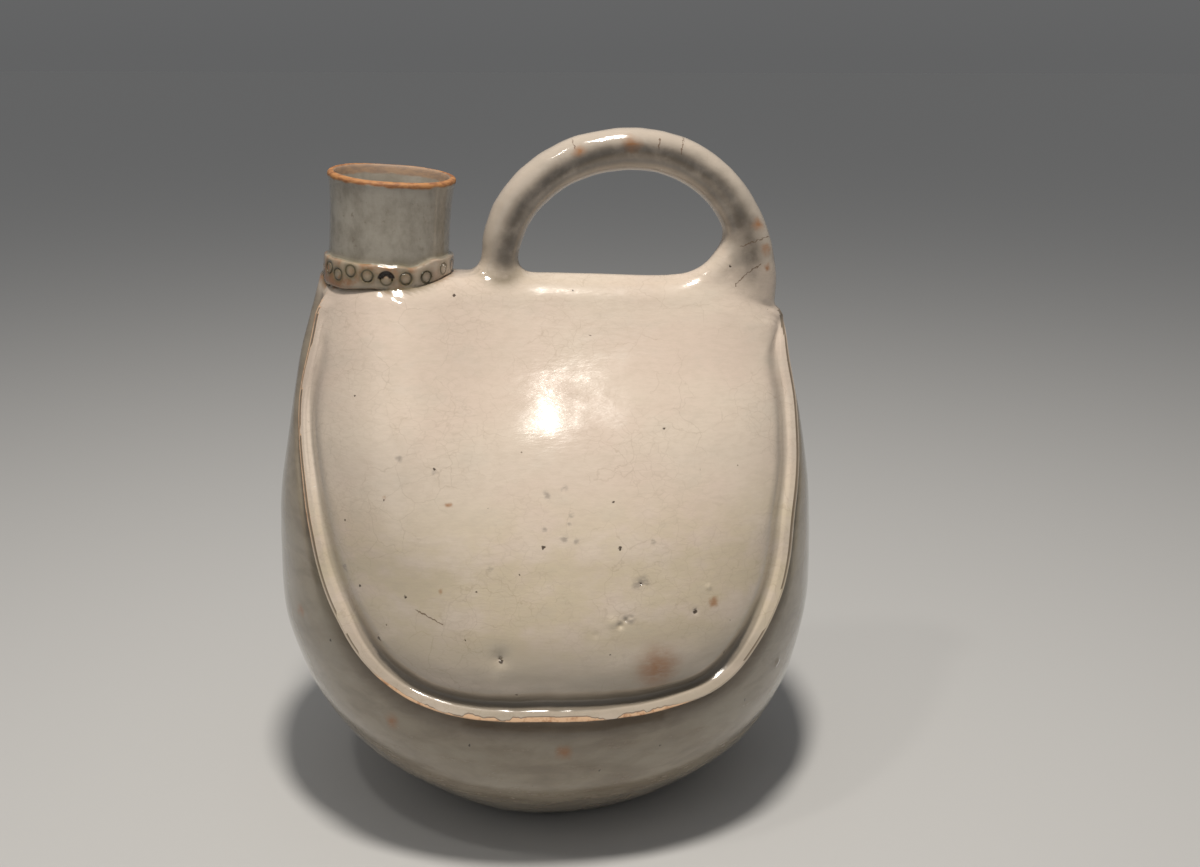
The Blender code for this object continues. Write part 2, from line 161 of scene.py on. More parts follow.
neck = {
    "radius": 0.0240,
    "wall": 0.0042,
    "setIn": 0.0523,
    "height": 0.0410,          # rim above the ridge
    "sunk": 0.014,
    "lean": 4.5,               # degrees toward the handle
    "shoulderSwell": 0.0215,   # how far the shoulder stands out from the body
    "shoulderSpread": 0.031,
    "shoulderFoot": 0.42,
    "shoulderFull": 0.88,
    "shoulderDrawIn": 0.13,    # share by which it draws in again up to the collar
    "hollowShare": 0.80,       # share of the swelling that the hollow follows
    "sides": 200,
    "boreSides": 120,
    # radius and level below the rim in mm, from the rim down
    "outside": (
        (23.7, 0.0), (24.35, -0.08), (24.9, -0.32), (25.25, -0.75), (25.38, -1.3), (25.35, -1.9),
        (25.15, -2.6), (24.95, -3.6), (24.75, -5.2), (24.5, -7.4), (24.28, -10.0), (24.12, -13.0),
        (24.02, -16.0), (23.96, -19.0), (23.95, -22.0), (24.0, -25.0)),
    "inside": (
        (24.6, 1.2), (23.75, 0.28), (23.25, 0.0), (22.85, -0.30), (22.55, -0.80), (22.3, -1.6), (22.0, -2.8),
        (21.5, -5.0), (20.9, -8.0), (20.35, -12.0), (20.0, -17.0), (19.8, -24.0), (19.8, -32.0)),
    "rimWaves": (8, ((2, 0.00010), (3, 0.00008), (5, 0.00006))),   # seed, then waves round and height
}
neckX = neck["setIn"] - halfWidth
neckTop = body["height"] + neck["height"]

handle = {
    "setIn": 0.0290,
    "rootRadius": 0.0092,
    # centre line in mm from the left root over to the right one, with the roll's radius
    "path": (
        (-18.9, 210.0, 7.8), (-18.8, 218.0, 7.8), (-18.6, 226.1, 7.8), (-17.1, 236.0, 8.15), (-13.8, 244.7, 8.4),
        (-8.6, 252.4, 8.5), (-1.9, 259.0, 8.5), (6.0, 264.3, 8.45), (14.9, 268.2, 8.4), (24.6, 270.7, 8.4),
        (34.5, 271.6, 8.45), (44.2, 270.8, 8.5), (53.6, 268.4, 8.45), (62.1, 264.4, 8.4), (69.7, 258.9, 8.4),
        (76.2, 252.1, 8.45), (81.2, 244.3, 8.7), (84.8, 235.6, 9.0), (87.0, 227.0, 9.4), (88.4, 219.0, 9.3),
        (89.4, 211.0, 8.4), (89.8, 203.0, 6.8), (89.5, 195.0, 5.0)),
    # the web that sweeps from the ridge up into the right root
    "web": ((50.0, 212.6, 6.0), (58.0, 213.6, 6.6), (66.0, 215.6, 7.2), (73.5, 220.0, 7.8), (79.5, 227.5, 8.2),
            (83.5, 236.0, 8.0)),
    "rolling": {"Sides": 56, "Step": 0.0016, "Lump height": 0.00028, "Lump scale": 85.0},
    "seed": 4.0,
}
handleRight = halfWidth - handle["setIn"]


def smoothCurve(knots, values, at):
    knots, values, at = (np.asarray(item, dtype=float) for item in (knots, values, at))
    gaps = np.diff(knots)
    slopes = np.diff(values) / gaps
    tangent = np.zeros_like(values)
    sameWay = slopes[:-1] * slopes[1:] > 0
    first = 2 * gaps[1:] + gaps[:-1]
    second = gaps[1:] + 2 * gaps[:-1]
    safeLeft = np.where(sameWay, slopes[:-1], 1.0)
    safeRight = np.where(sameWay, slopes[1:], 1.0)
    tangent[1:-1] = np.where(sameWay, (first + second) / (first / safeLeft + second / safeRight), 0.0)
    tangent[0], tangent[-1] = slopes[0], slopes[-1]
    at = np.clip(at, knots[0], knots[-1])
    k = np.clip(np.searchsorted(knots, at, side="right") - 1, 0, len(gaps) - 1)
    gap = gaps[k]
    t = (at - knots[k]) / gap
    return (values[k] * (1 + 2 * t) * (1 - t) ** 2 + gap * tangent[k] * t * (1 - t) ** 2
            + values[k + 1] * t * t * (3 - 2 * t) + gap * tangent[k + 1] * t * t * (t - 1))


def fade(value, start, end):
    t = np.clip((value - start) / (end - start), 0.0, 1.0)
    return t * t * (3 - 2 * t)


def halfThickness(x, z, inset=0.0):   # half the body's thickness in Y at a point of the XZ plane
    x, z = np.asarray(x, dtype=float), np.asarray(z, dtype=float)
    tall = body["height"]
    root = handleRight - 0.5 * handle["rootRadius"]
    lift = body["rootLift"] * fade(x, root - body["rootSweep"], root) + body["ridgeSlope"] * x
    level = z - lift * fade(z, body["ridgeReach"] * tall, tall)
    table = sectionTable
    share = level / tall
    left = np.interp(share, table[:, 0], table[:, 1]) * halfWidth
    right = np.interp(share, table[:, 0], table[:, 2]) * halfWidth
    depth = np.interp(share, table[:, 0], table[:, 3]) * halfDepth - inset
    power = np.interp(share, table[:, 0], table[:, 4])
    reach = np.maximum(np.where(x < 0, left, right) - inset, 1e-6)
    top = tall - 1.3 * inset
    intoCap = np.clip((level - top + body["ridgeRounding"]) / body["ridgeRounding"], 0.0, 1.0)
    depth = np.maximum(depth, 0.0) * np.sqrt(1 - intoCap ** 2)
    side = np.clip(1 - (np.abs(x) / reach) ** power, 0.0, 1.0)
    skin = depth * side ** (1 / power)
    grown = fade(level, neck["shoulderFoot"] * tall, neck["shoulderFull"] * tall)
    grown = grown - neck["shoulderDrawIn"] * fade(level, neck["shoulderFull"] * tall, tall)
    swell = neck["shoulderSwell"] * np.exp(-((x - neckX) / neck["shoulderSpread"]) ** 2) * grown
    end = np.sqrt(np.clip(1 - (np.abs(x) / reach) ** 10, 0.0, 1.0))
    followed = neck["hollowShare"] if inset > 0 else 1.0
    return skin + followed * swell * np.sqrt(1 - intoCap ** 10) * end


def fineSections():   # the section table, resampled finely and smoothed a little
    coarse = np.array(body["sections"])
    shares = np.linspace(coarse[0, 0], coarse[-1, 0], 551)
    columns = [smoothCurve(coarse[:, 0], coarse[:, k], shares) for k in range(1, 5)]
    kernel = np.hanning(23)
    kernel /= kernel.sum()
    smoothed = []
    for column in columns:
        padded = np.concatenate([2 * column[0] - column[11:0:-1], column, 2 * column[-1] - column[-2:-13:-1]])
        smoothed.append(np.convolve(padded, kernel, mode="valid"))
    return np.stack([shares] + smoothed, axis=1)


sectionTable = fineSections()


def meetSurface(start, direction, inset=0.0, reach=0.25):
    near = np.zeros(direction.shape[:-1])
    far = np.full(direction.shape[:-1], reach)
    for _ in range(30):
        half = (near + far) / 2
        point = start + direction * half[..., None]
        outside = np.abs(point[..., 1]) > halfThickness(point[..., 0], point[..., 2], inset) - 1e-7
        far = np.where(outside, half, far)
        near = np.where(outside, near, half)
    return start + direction * near[..., None]


seam = {
    "edge": (                 # lip of the front panel seen from the front, in mm, round to the handle side
        (-86, 219), (-93, 201), (-98, 182), (-99, 166), (-96.7, 149), (-93, 130), (-89, 114.5),
        (-82.6, 101), (-76, 91), (-65, 81), (-50, 74), (-19, 70.4), (0, 70), (27, 69.7), (46.6, 71.5),
        (63.6, 75.7), (77, 87.4), (87.8, 101.4), (93, 114.6), (96.2, 131.5), (100, 146.4),
        (101.4, 161), (101.4, 176), (99.8, 191), (98.6, 205),
    ),
    "acrossTop": ((57, 215.5), (0, 217), (-46, 217)),   # where it isn't raised
    "rightEnd": (97.5, 208.0),
    "endFade": 5.0,           # degrees, at the neck
    "rightFade": 2.2,
    "hollowFade": 4.0,        # how many times longer the hollow beside the lip takes to fade
    "slimmer": 0.36,          # how much narrower the strip is round the bottom
    # times the profile: all round, and how much more round the bottom
    "proud": (0.82, 0.28, 0.40),   # and how much less up the left side
    "under": (0.8, 1.1),
    "beside": (1.0, 0.8),
    "waves": (3, ((7, 0.10), (13, 0.08), (22, 0.06), (37, 0.05))),   # seed, then waves round and mm
    # across the lip, panel side first: distance from the edge and height off the skin, in mm
    "profile": (
        (-20.0, -0.10), (-16.5, -0.40), (-13.4, -0.85), (-11.0, -1.25), (-9.2, -1.48), (-7.8, -1.42),
        (-6.8, -1.05), (-6.1, -0.45), (-5.6, 0.20), (-5.1, 0.62), (-4.4, 1.00), (-3.5, 1.40),
        (-2.6, 1.80), (-1.8, 2.15), (-1.1, 2.45), (-0.6, 2.65), (-0.28, 2.72), (-0.08, 2.66),
        (0.0, 2.46), (0.0, 1.85), (-0.15, 1.30), (-0.6, 0.75), (-1.0, 0.10), (-1.05, -0.55),
        (-0.55, -1.10), (0.4, -1.35), (1.7, -1.35), (3.4, -1.15), (5.6, -0.75), (8.2, -0.30),
        (11.0, 0.0),
    ),
}


def periodicSpline(turns, values, at):   # closed cubic curve with smooth second slopes
    count = len(turns)
    gaps = np.diff(np.append(turns, turns[0] + 2 * math.pi))
    system, right = np.zeros((count, count)), np.zeros(count)
    for k in range(count):
        before, after = (k - 1) % count, (k + 1) % count
        system[k, before] = gaps[before]
        system[k, k] = 2 * (gaps[before] + gaps[k])
        system[k, after] = gaps[k]
        right[k] = 6 * ((values[after] - values[k]) / gaps[k] - (values[k] - values[before]) / gaps[before])
    bend = np.linalg.solve(system, right)
    at = (at - turns[0]) % (2 * math.pi) + turns[0]
    k = np.clip(np.searchsorted(turns, at, side="right") - 1, 0, count - 1)
    after = (k + 1) % count
    a = (turns[k] + gaps[k] - at) / gaps[k]
    b = 1 - a
    return (a * values[k] + b * values[after]
            + ((a ** 3 - a) * bend[k] + (b ** 3 - b) * bend[after]) * gaps[k] ** 2 / 6)


def seamDistance(turn):
    loop = np.array(seam["edge"] + seam["acrossTop"]) / 1000
    x, z = loop[:, 0] - middle[0], loop[:, 1] - middle[2]
    angle = np.arctan2(z, x)
    order = np.argsort(angle)
    spread = np.radians(np.linspace(-1.6, 1.6, 7))
    around = [periodicSpline(angle[order], np.hypot(x, z)[order], turn + shift) for shift in spread]
    return np.mean(around, axis=0)


def seamStrength(turn, longer=1.0):   # 1 along the raised seam, fading to 0 at its two upper ends
    left, right = np.array(seam["edge"][0]) / 1000, np.array(seam["rightEnd"]) / 1000
    leftEnd = math.atan2(left[1] - middle[2], left[0])
    rightEnd = math.atan2(right[1] - middle[2], right[0])
    turn = (turn + math.pi / 2) % (2 * math.pi) - math.pi / 2
    soft, short = math.radians(seam["endFade"]) * longer, math.radians(seam["rightFade"]) * longer
    return np.maximum(1 - fade(turn, rightEnd - short, rightEnd), fade(turn, leftEnd, leftEnd + soft))


def meridians(turns, samples):   # skin from the panel's middle over the seam to the side, and its normals
    outward = np.stack([np.cos(turns), np.zeros_like(turns), np.sin(turns)], axis=1)
    reach = seamDistance(turns)
    steps = np.linspace(0, 1, samples)[None, :] * reach[:, None]
    panel = middle + outward[:, None, :] * steps[..., None]
    panel[..., 1] = -halfThickness(panel[..., 0], panel[..., 2])
    deep = -panel[:, -1, 1]
    hinge = np.maximum(reach - deep, 0.0)
    lean = np.arctan2(deep, reach - hinge)
    fan = lean[:, None] * np.linspace(1, 0, samples)[None, 1:]
    rays = np.cos(fan)[..., None] * outward[:, None, :] + np.sin(fan)[..., None] * np.array([0.0, -1.0, 0.0])
    start = middle + outward * hinge[:, None]
    gusset = meetSurface(start[:, None, :], rays)
    line = np.concatenate([panel, gusset], axis=1)
    line[:, -1, 1] = 0.0
    across = np.gradient(line, axis=1)
    around = np.roll(line, -1, axis=0) - np.roll(line, 1, axis=0)
    normal = np.cross(across, around)
    normal /= np.maximum(np.linalg.norm(normal, axis=2, keepdims=True), 1e-12)
    normal[:, 0] = (0.0, -1.0, 0.0)
    normal[:, -1] = normal[:, -2] * (1.0, 0.0, 1.0)
    normal /= np.maximum(np.linalg.norm(normal, axis=2, keepdims=True), 1e-12)
    return line, normal


def wobble(turn, seed, waves):   # small closed unevenness, the sum of a few waves
    chance = np.random.default_rng(seed)
    total = np.zeros_like(turn)
    for count, size in waves:
        total += size * np.sin(count * turn + chance.uniform(0, 2 * math.pi))
    return total


def bodyRings():
    turns = np.arange(body["spokes"]) * 2 * math.pi / body["spokes"]
    line, normal = meridians(turns, body["samples"])
    lengths = np.concatenate([np.zeros((len(turns), 1)),
                              np.cumsum(np.linalg.norm(np.diff(line, axis=1), axis=2), axis=1)], axis=1)
    strength = seamStrength(turns)
    lower = fade(-np.sin(turns), -0.3, 0.7)
    upperLeft = fade(-np.cos(turns), 0.35, 0.8) * fade(np.sin(turns), -0.05, 0.45)
    allRound, bottom, left = seam["proud"]
    proud = strength * (allRound + bottom * lower - left * upperLeft)
    under = strength * (seam["under"][0] + seam["under"][1] * lower)
    beside = seamStrength(turns, seam["hollowFade"]) * (seam["beside"][0] + seam["beside"][1] * lower)
    slim = 1 - seam["slimmer"] * lower
    shift = strength * wobble(turns, *seam["waves"])
    profile = np.array(seam["profile"])
    rings, offsets = [], []
    edge = lengths[:, body["samples"] - 1]
    inner = edge + profile[0, 0] / 1000 - 0.0025
    for k in range(body["panelRings"]):
        rings.append(inner * (k + 1) / body["panelRings"])
        offsets.append(np.zeros_like(edge))
    room = np.minimum(1.0, 0.8 * (lengths[:, -1] - edge) / (profile[-1, 0] / 1000))
    flat = np.linspace(profile[0, 0], profile[-1, 0], len(profile))   # spacing where nothing is raised
    for (across, high), level in zip(profile, flat):
        run = across * slim if across < 0 else across
        place = (level + strength * (run - level) + shift) / 1000
        rings.append(edge + np.where(place > 0, place * room, place))
        offsets.append(high / 1000 * np.where(high > 0, proud, np.where(across > -1.2, under, beside)))
    last = rings[-1].copy()
    rest = lengths[:, -1] - last
    for k in range(body["gussetRings"]):
        rings.append(last + rest * (k + 1) / body["gussetRings"])
        offsets.append(np.zeros_like(edge))
    where, lift = np.stack(rings, axis=1), np.stack(offsets, axis=1)
    points = np.empty(where.shape + (3,))
    for s in range(len(turns)):
        for axis in range(3):
            base = np.interp(where[s], lengths[s], line[s, :, axis])
            points[s, :, axis] = base + np.interp(where[s], lengths[s], normal[s, :, axis]) * lift[s]
    points[:, -1, 1] = 0.0
    return points


def bodySkin(rings):   # closed skin: the front half's rings, fewer spokes toward the middle, mirrored for the back
    spokes, last = rings.shape[0], rings.shape[1] - 1
    points, faces = [], []

    def addHalf(sign, shared):
        pole = len(points)
        points.append((middle[0], sign * float(halfThickness(middle[0], middle[2])), middle[2]))
        before, beforeStride = None, None
        for r in range(last + 1):
            stride = next((every for ring, every in body["strides"] if r < ring), 1)
            if r == last and shared is not None:
                row = shared
            else:
                row = []
                for s in range(0, spokes, stride):
                    row.append(len(points))
                    x, y, z = rings[s, r]
                    points.append((x, -sign * y, z))
            n = len(row)
            if before is None:
                faces.extend((pole, row[(j + 1) % n], row[j]) for j in range(n))
            elif beforeStride == stride:
                faces.extend((before[j], before[(j + 1) % n], row[(j + 1) % n], row[j]) for j in range(n))
            else:
                m = len(before)
                for j in range(m):
                    a, b = before[j], before[(j + 1) % m]
                    p, q, t = row[2 * j], row[2 * j + 1], row[(2 * j + 2) % n]
                    faces.extend(((a, q, p), (a, b, q), (b, t, q)))
            before, beforeStride = row, stride
        return before

    shared = addHalf(-1, None)
    addHalf(1, shared)
    thing = meshObject("bodySkin", points, faces)
    turnOutward(thing.data)
    return thing


def neckFrame():   # from z = 0 at the rim's middle to the neck's place and lean
    lean = math.radians(neck["lean"])
    out = math.tan(lean) * neck["height"] / 2
    return Matrix.Translation((neckX + out, 0.0, neckTop)) @ Matrix.Rotation(lean, 4, "Y")


def ringStack(name, turns, rows):   # closed solid on the neck's axis, from a radius and level for each turn
    count = len(turns)
    place = np.array(neckFrame())
    points, faces = [], []
    for radius, level in rows:
        radius, level = radius + 0 * turns, level + 0 * turns
        ring = np.stack([radius * np.cos(turns), radius * np.sin(turns), level, np.ones(count)], axis=1)
        points.extend((ring @ place.T)[:, :3])
    for r in range(len(rows) - 1):
        a, b = r * count, (r + 1) * count
        faces.extend((a + j, a + (j + 1) % count, b + (j + 1) % count, b + j) for j in range(count))
    for r in (0, len(rows) - 1):
        points.append(np.mean(points[r * count:(r + 1) * count], axis=0))
        faces.extend((len(points) - 1, r * count + j, r * count + (j + 1) % count) for j in range(count))
    thing = meshObject(name, points, faces)
    turnOutward(thing.data)
    return thing


collar = {
    # turn about the neck in degrees (-90 is the front) and height in mm of the band's two edges
    "topEdge": ((-178, 231.4), (-160, 231.5), (-144, 230.7), (-127, 230.5), (-115, 229.8), (-100, 229.5),
                (-88, 228.9), (-76, 228.7), (-66, 227.8), (-59, 228.4), (-53, 229.4), (-46, 230.5),
                (-34, 230.2), (-16, 230.2), (4, 230.0), (30, 229.6), (70, 229.0), (110, 229.8), (150, 230.8)),
    "lowEdge": ((-178, 220.8), (-158, 219.9), (-138, 219.7), (-126, 219.7), (-115, 220.1), (-101, 220.1),
                (-89, 219.5), (-78, 218.8), (-69, 219.1), (-59, 220.0), (-45, 221.3), (-33, 222.2), (-16, 222.6),
                (4, 222.8), (20, 222.2), (46, 220.4), (82, 219.2), (120, 219.0), (150, 219.9)),
    "proud": 0.0020,
    # rounding of the two edges: share of proud, and mm below the top edge or above the low one
    "topRound": ((0.06, -0.50), (0.20, -0.22), (0.45, -0.04), (0.68, 0.05), (0.84, 0.20), (0.94, 0.45), (1.0, 0.85)),
    "lowRound": ((1.0, 0.80), (0.93, 0.40), (0.80, 0.14), (0.60, 0.0), (0.30, -0.06), (0.05, -0.10)),
    "belly": 0.10,            # how much prouder it is halfway down
    # seed, then waves round and height
    "topWaves": (5, ((9, 0.00012), (17, 0.00010))),
    "lowWaves": (6, ((8, 0.00012), (15, 0.00012))),
    "proudWaves": (9, ((4, 0.08), (7, 0.06))),
}

stamps = {
    # turn in degrees, height in mm, sink in mm, lean in degrees
    "spots": (
        (-166.0, 225.0, 0.05, 0), (-148.5, 227.0, 0.05, 3), (-135.5, 225.0, 0.0, -2), (-121.2, 226.9, 0.0, 2),
        (-105.0, 225.3, 0.10, 8), (-88.5, 224.0, 0.50, 20), (-71.7, 223.9, 0.0, 2), (-52.6, 223.9, 0.0, -3),
        (-31.0, 225.9, -0.1, 0), (-12, 226.2, 0.0, 2), (7, 225.6, 0.05, -2), (26, 225.8, 0.0, 3),
        (45, 225.0, 0.05, 0), (64, 224.4, 0.0, -4), (83, 224.0, 0.05, 2), (102, 224.2, 0.0, 0),
        (121, 223.9, 0.1, 4), (140, 224.6, 0.0, -2), (158, 224.9, 0.05, 0), (176, 225.3, 0.0, 2),
    ),
    "radius": 0.00228,
    "line": 0.00042,          # half width of the stamped line
}


def worldToNeck(turn, height):   # level on the leaning neck of a height above the foot
    lean = math.radians(neck["lean"])
    out = (neck["radius"] + collar["proud"]) * np.cos(turn)
    return (height - neckTop + out * math.sin(lean)) / math.cos(lean)


def closedLine(table, turns):
    table = np.array(table)
    angle = np.radians(table[:, 0])
    order = np.argsort(angle)
    return periodicSpline(angle[order], table[order, 1] / 1000, turns)


def neckWarp(turns):   # thrown by hand, so not quite round
    return 1 + 0.006 * np.cos(2 * turns + 0.7) + 0.003 * np.cos(3 * turns - 0.4)


def neckSolid():   # the neck and its collar, closed above and below
    turns = np.arange(neck["sides"]) * 2 * math.pi / neck["sides"]
    top = worldToNeck(turns, closedLine(collar["topEdge"], turns)) + wobble(turns, *collar["topWaves"])
    low = worldToNeck(turns, closedLine(collar["lowEdge"], turns)) + wobble(turns, *collar["lowWaves"])
    warp, rimWave = neckWarp(turns), wobble(turns, *neck["rimWaves"])
    r, proud = neck["radius"], collar["proud"] * (1 + wobble(turns, *collar["proudWaves"]))
    rows = [(radius / 1000 * warp, level / 1000 + rimWave) for radius, level in neck["outside"]]
    upper = neck["outside"][-1][1] / 1000
    rows += [(r * warp, upper + (top + 0.0006 - upper) * share) for share in (0.3, 0.6, 0.85)]
    rows += [(r * warp + proud * out, top - drop / 1000) for out, drop in collar["topRound"]]
    for share in np.linspace(0.1, 0.9, 14):   # down the band's face
        belly = 1.0 + collar["belly"] * math.sin(math.pi * share)
        rows.append((r * warp + proud * belly, (top - 0.00085) + (low - top + 0.0017) * share))
    rows += [(r * warp + proud * out, low + rise / 1000) for out, rise in collar["lowRound"]]
    rows += [(r * warp * 0.985, low - drop / 1000) for drop in (1.0, 3.0)]   # hidden in the shoulder from here on
    rows.append((0.92 * r, -neck["height"] - neck["sunk"]))
    return ringStack("neckAndCollar", turns, rows)


def neckBore():   # opens the neck down into the hollow
    turns = (np.arange(neck["boreSides"]) + 0.5) * 2 * math.pi / neck["boreSides"]
    warp, bore = neckWarp(turns), neck["radius"] - neck["wall"]
    rows = [(radius / 1000 * warp, level / 1000) for radius, level in neck["inside"]]
    rows += [(bore, 0.94 * body["height"] - neckTop), (0.8 * bore, 0.86 * body["height"] - neckTop)]
    return ringStack("neckBore", turns, rows)


def newTree(name, sizes):   # a geometry tree with its named inputs
    tree = bpy.data.node_groups.new(name, "GeometryNodeTree")
    for way in ("INPUT", "OUTPUT"):
        tree.interface.new_socket("Geometry", in_out=way, socket_type="NodeSocketGeometry")
    for label, value in sizes.items():
        kind = "NodeSocketInt" if isinstance(value, int) else "NodeSocketFloat"
        tree.interface.new_socket(label, in_out="INPUT", socket_type=kind).default_value = value
    return tree, addNode(tree, "NodeGroupInput").outputs


def closeTree(tree, geometry):   # each tree ends in Realize Instances and Set Material
    real = addNode(tree, "GeometryNodeRealizeInstances", {"Geometry": geometry})
    finish = addNode(tree, "GeometryNodeSetMaterial", {"Geometry": real.outputs["Geometry"]})
    addNode(tree, "NodeGroupOutput", {"Geometry": finish.outputs["Geometry"]})
    return tree


def applyTree(source, tree, settings, name):   # runs a tree on an object and keeps the result as a plain mesh
    change = source.modifiers.new(tree.name, "NODES")
    change.node_group = tree
    sockets = {item.name: item.identifier for item in tree.interface.items_tree if item.in_out == "INPUT"}
    for key, value in settings.items():
        change[sockets[key]] = value
    evaluated = source.evaluated_get(bpy.context.evaluated_depsgraph_get())
    mesh = bpy.data.meshes.new_from_object(evaluated)
    bpy.data.objects.remove(source)
    turnOutward(mesh, weld=0.000005)
    return newObject(name, mesh)


def named(tree, name, kind):   # reads an attribute of the points
    return addNode(tree, "GeometryNodeInputNamedAttribute", {"Name": name}, data_type=kind).outputs["Attribute"]


def stampTree():   # one ring-shaped stamp on each point, turned as the point says
    tree, given = newTree("stampedCircles", {"Ring radius": 0.002, "Line half width": 0.0004, "Sides": 28})
    circle = "GeometryNodeCurvePrimitiveCircle"
    ring = addNode(tree, circle, {"Radius": given["Ring radius"], "Resolution": given["Sides"]})
    line = addNode(tree, circle, {"Radius": given["Line half width"], "Resolution": 10})
    tube = addNode(tree, "GeometryNodeCurveToMesh", {
        "Curve": ring.outputs["Curve"], "Profile Curve": line.outputs["Curve"]})
    place = addNode(tree, "GeometryNodeInstanceOnPoints", {
        "Points": given["Geometry"], "Instance": tube.outputs["Mesh"],
        "Rotation": named(tree, "stampTurn", "FLOAT_VECTOR")})
    return closeTree(tree, place.outputs["Instances"])


def stampPlace(turn, height, sink, lean):   # place and turn of one stamped circle
    angle = math.radians(turn)
    rise = float(worldToNeck(np.array([angle]), height / 1000)[0])
    out = neck["radius"] * float(neckWarp(np.array([angle]))[0]) + collar["proud"] * 1.10 - sink / 1000
    spot = neckFrame() @ Matrix.Rotation(angle, 4, "Z") @ Matrix.Translation((out, 0.0, rise))
    return spot @ Matrix.Rotation(math.radians(90 + lean), 4, "Y")


def stampCutters():   # all the rings that are cut out of the collar
    spots = [stampPlace(*spot) for spot in stamps["spots"]]
    source = meshObject("stampPlaces", [spot.translation for spot in spots])
    turned = source.data.attributes.new("stampTurn", "FLOAT_VECTOR", "POINT")
    for row, spot in zip(turned.data, spots):
        row.vector = tuple(spot.to_euler())
    return applyTree(source, stampTree(), {"Ring radius": stamps["radius"], "Line half width": stamps["line"]},
                     "stampRings")


def rollTree():   # a rolled strip of clay along a centre line, with a little hand-made unevenness
    tree, given = newTree("rolledClay", {"Sides": 48, "Step": 0.002, "Lump height": 0.0003, "Lump scale": 80.0,
                                         "Seed": 1.0})
    radius = named(tree, "rollRadius", "FLOAT")
    path = addNode(tree, "GeometryNodeMeshToCurve", {"Mesh": given["Geometry"]})
    sampled = addNode(tree, "GeometryNodeResampleCurve", {"Curve": path.outputs["Curve"], "Length": given["Step"]},
                      mode="LENGTH")
    thick = addNode(tree, "GeometryNodeSetCurveRadius", {"Curve": sampled.outputs["Curve"], "Radius": radius})
    profile = addNode(tree, "GeometryNodeCurvePrimitiveCircle", {"Radius": 1.0, "Resolution": given["Sides"]})
    tube = addNode(tree, "GeometryNodeCurveToMesh", {
        "Curve": thick.outputs["Curve"], "Profile Curve": profile.outputs["Curve"], "Scale": radius,
        "Fill Caps": True})
    high = addNode(tree, "ShaderNodeTexNoise", {"Scale": given["Lump scale"], "W": given["Seed"], "Detail": 2.0},
                   noise_dimensions="4D").outputs["Fac"]
    for way, value in (("SUBTRACT", 0.5), ("MULTIPLY", given["Lump height"]), ("MULTIPLY", 4.0)):
        high = addNode(tree, "ShaderNodeMath", {0: high, 1: value}, operation=way).outputs[0]
    facing = addNode(tree, "GeometryNodeInputNormal").outputs[0]
    push = addNode(tree, "ShaderNodeVectorMath", {0: facing, "Scale": high}, operation="SCALE")
    move = addNode(tree, "GeometryNodeSetPosition", {
        "Geometry": tube.outputs["Mesh"], "Offset": push.outputs["Vector"]})
    return closeTree(tree, move.outputs["Geometry"])


rolledClay = rollTree()


def centreLine(table, count):   # a smooth line through the table's points
    table = np.array(table) / 1000
    run = np.concatenate([[0], np.cumsum(np.linalg.norm(np.diff(table[:, :2], axis=0), axis=1))])
    at = np.linspace(0, run[-1], count)
    return np.stack([smoothCurve(run, table[:, k], at) for k in range(3)], axis=1)


def roll(name, table, seed):
    line = centreLine(table, 160)
    source = meshObject(name, [(x, 0.0, z) for x, z, _ in line], edges=[(k, k + 1) for k in range(len(line) - 1)])
    addAttribute(source.data, "rollRadius", line[:, 2])
    return applyTree(source, rolledClay, {**handle["rolling"], "Seed": seed}, name)


def cavitySolid(columns=64, rows=40):   # the hollow inside, set in from the skin by the wall
    shape = bmesh.new()
    bmesh.ops.create_uvsphere(shape, u_segments=columns, v_segments=rows, radius=1.0,
                              matrix=Matrix.Rotation(math.pi / 2, 4, "X"))
    start = np.array([0.0, 0.0, 0.48 * body["height"]])
    rays = np.array([vertex.co for vertex in shape.verts])
    hit = meetSurface(start, rays, inset=body["wall"])
    low = (start[2] - body["floor"]) / np.maximum(-rays[:, 2], 1e-9)
    length = np.linalg.norm(hit - start, axis=1)
    cut = np.where(rays[:, 2] < 0, np.minimum(length, low), length)
    for vertex, ray, reach in zip(shape.verts, rays, cut):
        vertex.co = Vector(start + ray * reach)
    thing = shapeObject("hollow", shape)
    turnOutward(thing.data)
    return thing


def footSlab():   # cuts the foot level
    shape = bmesh.new()
    size = Matrix.Diagonal((3 * body["width"], 3 * body["depth"], 0.1, 1.0))
    bmesh.ops.create_cube(shape, size=1.0, matrix=Matrix.Translation((0.0, 0.0, -0.05)) @ size)
    return shapeObject("footSlab", shape)


def combine(thing, tool, operation):   # joins or cuts, and keeps a plain mesh
    change = thing.modifiers.new(tool.name, "BOOLEAN")
    change.operation = operation
    change.solver = "MANIFOLD"
    change.object = tool
    evaluated = thing.evaluated_get(bpy.context.evaluated_depsgraph_get())
    mesh = bpy.data.meshes.new_from_object(evaluated)
    thing.modifiers.clear()
    thing.data = mesh
    bpy.data.objects.remove(tool)
    print("  ", operation.lower(), "gives", len(mesh.vertices), "points,", len(mesh.polygons), "faces")


rings = bodyRings()
flask = bodySkin(rings)
flask.name = "cockscombFlask"
print("body drawn:", len(flask.data.vertices), "points")
combine(flask, roll("loopHandle", handle["path"], handle["seed"]), "UNION")
combine(flask, roll("handleWeb", handle["web"], handle["seed"] + 1), "UNION")
neckPiece = neckSolid()
combine(neckPiece, stampCutters(), "DIFFERENCE")
combine(flask, neckPiece, "UNION")
combine(flask, cavitySolid(), "DIFFERENCE")
combine(flask, neckBore(), "DIFFERENCE")
combine(flask, footSlab(), "DIFFERENCE")
print("solid joined")

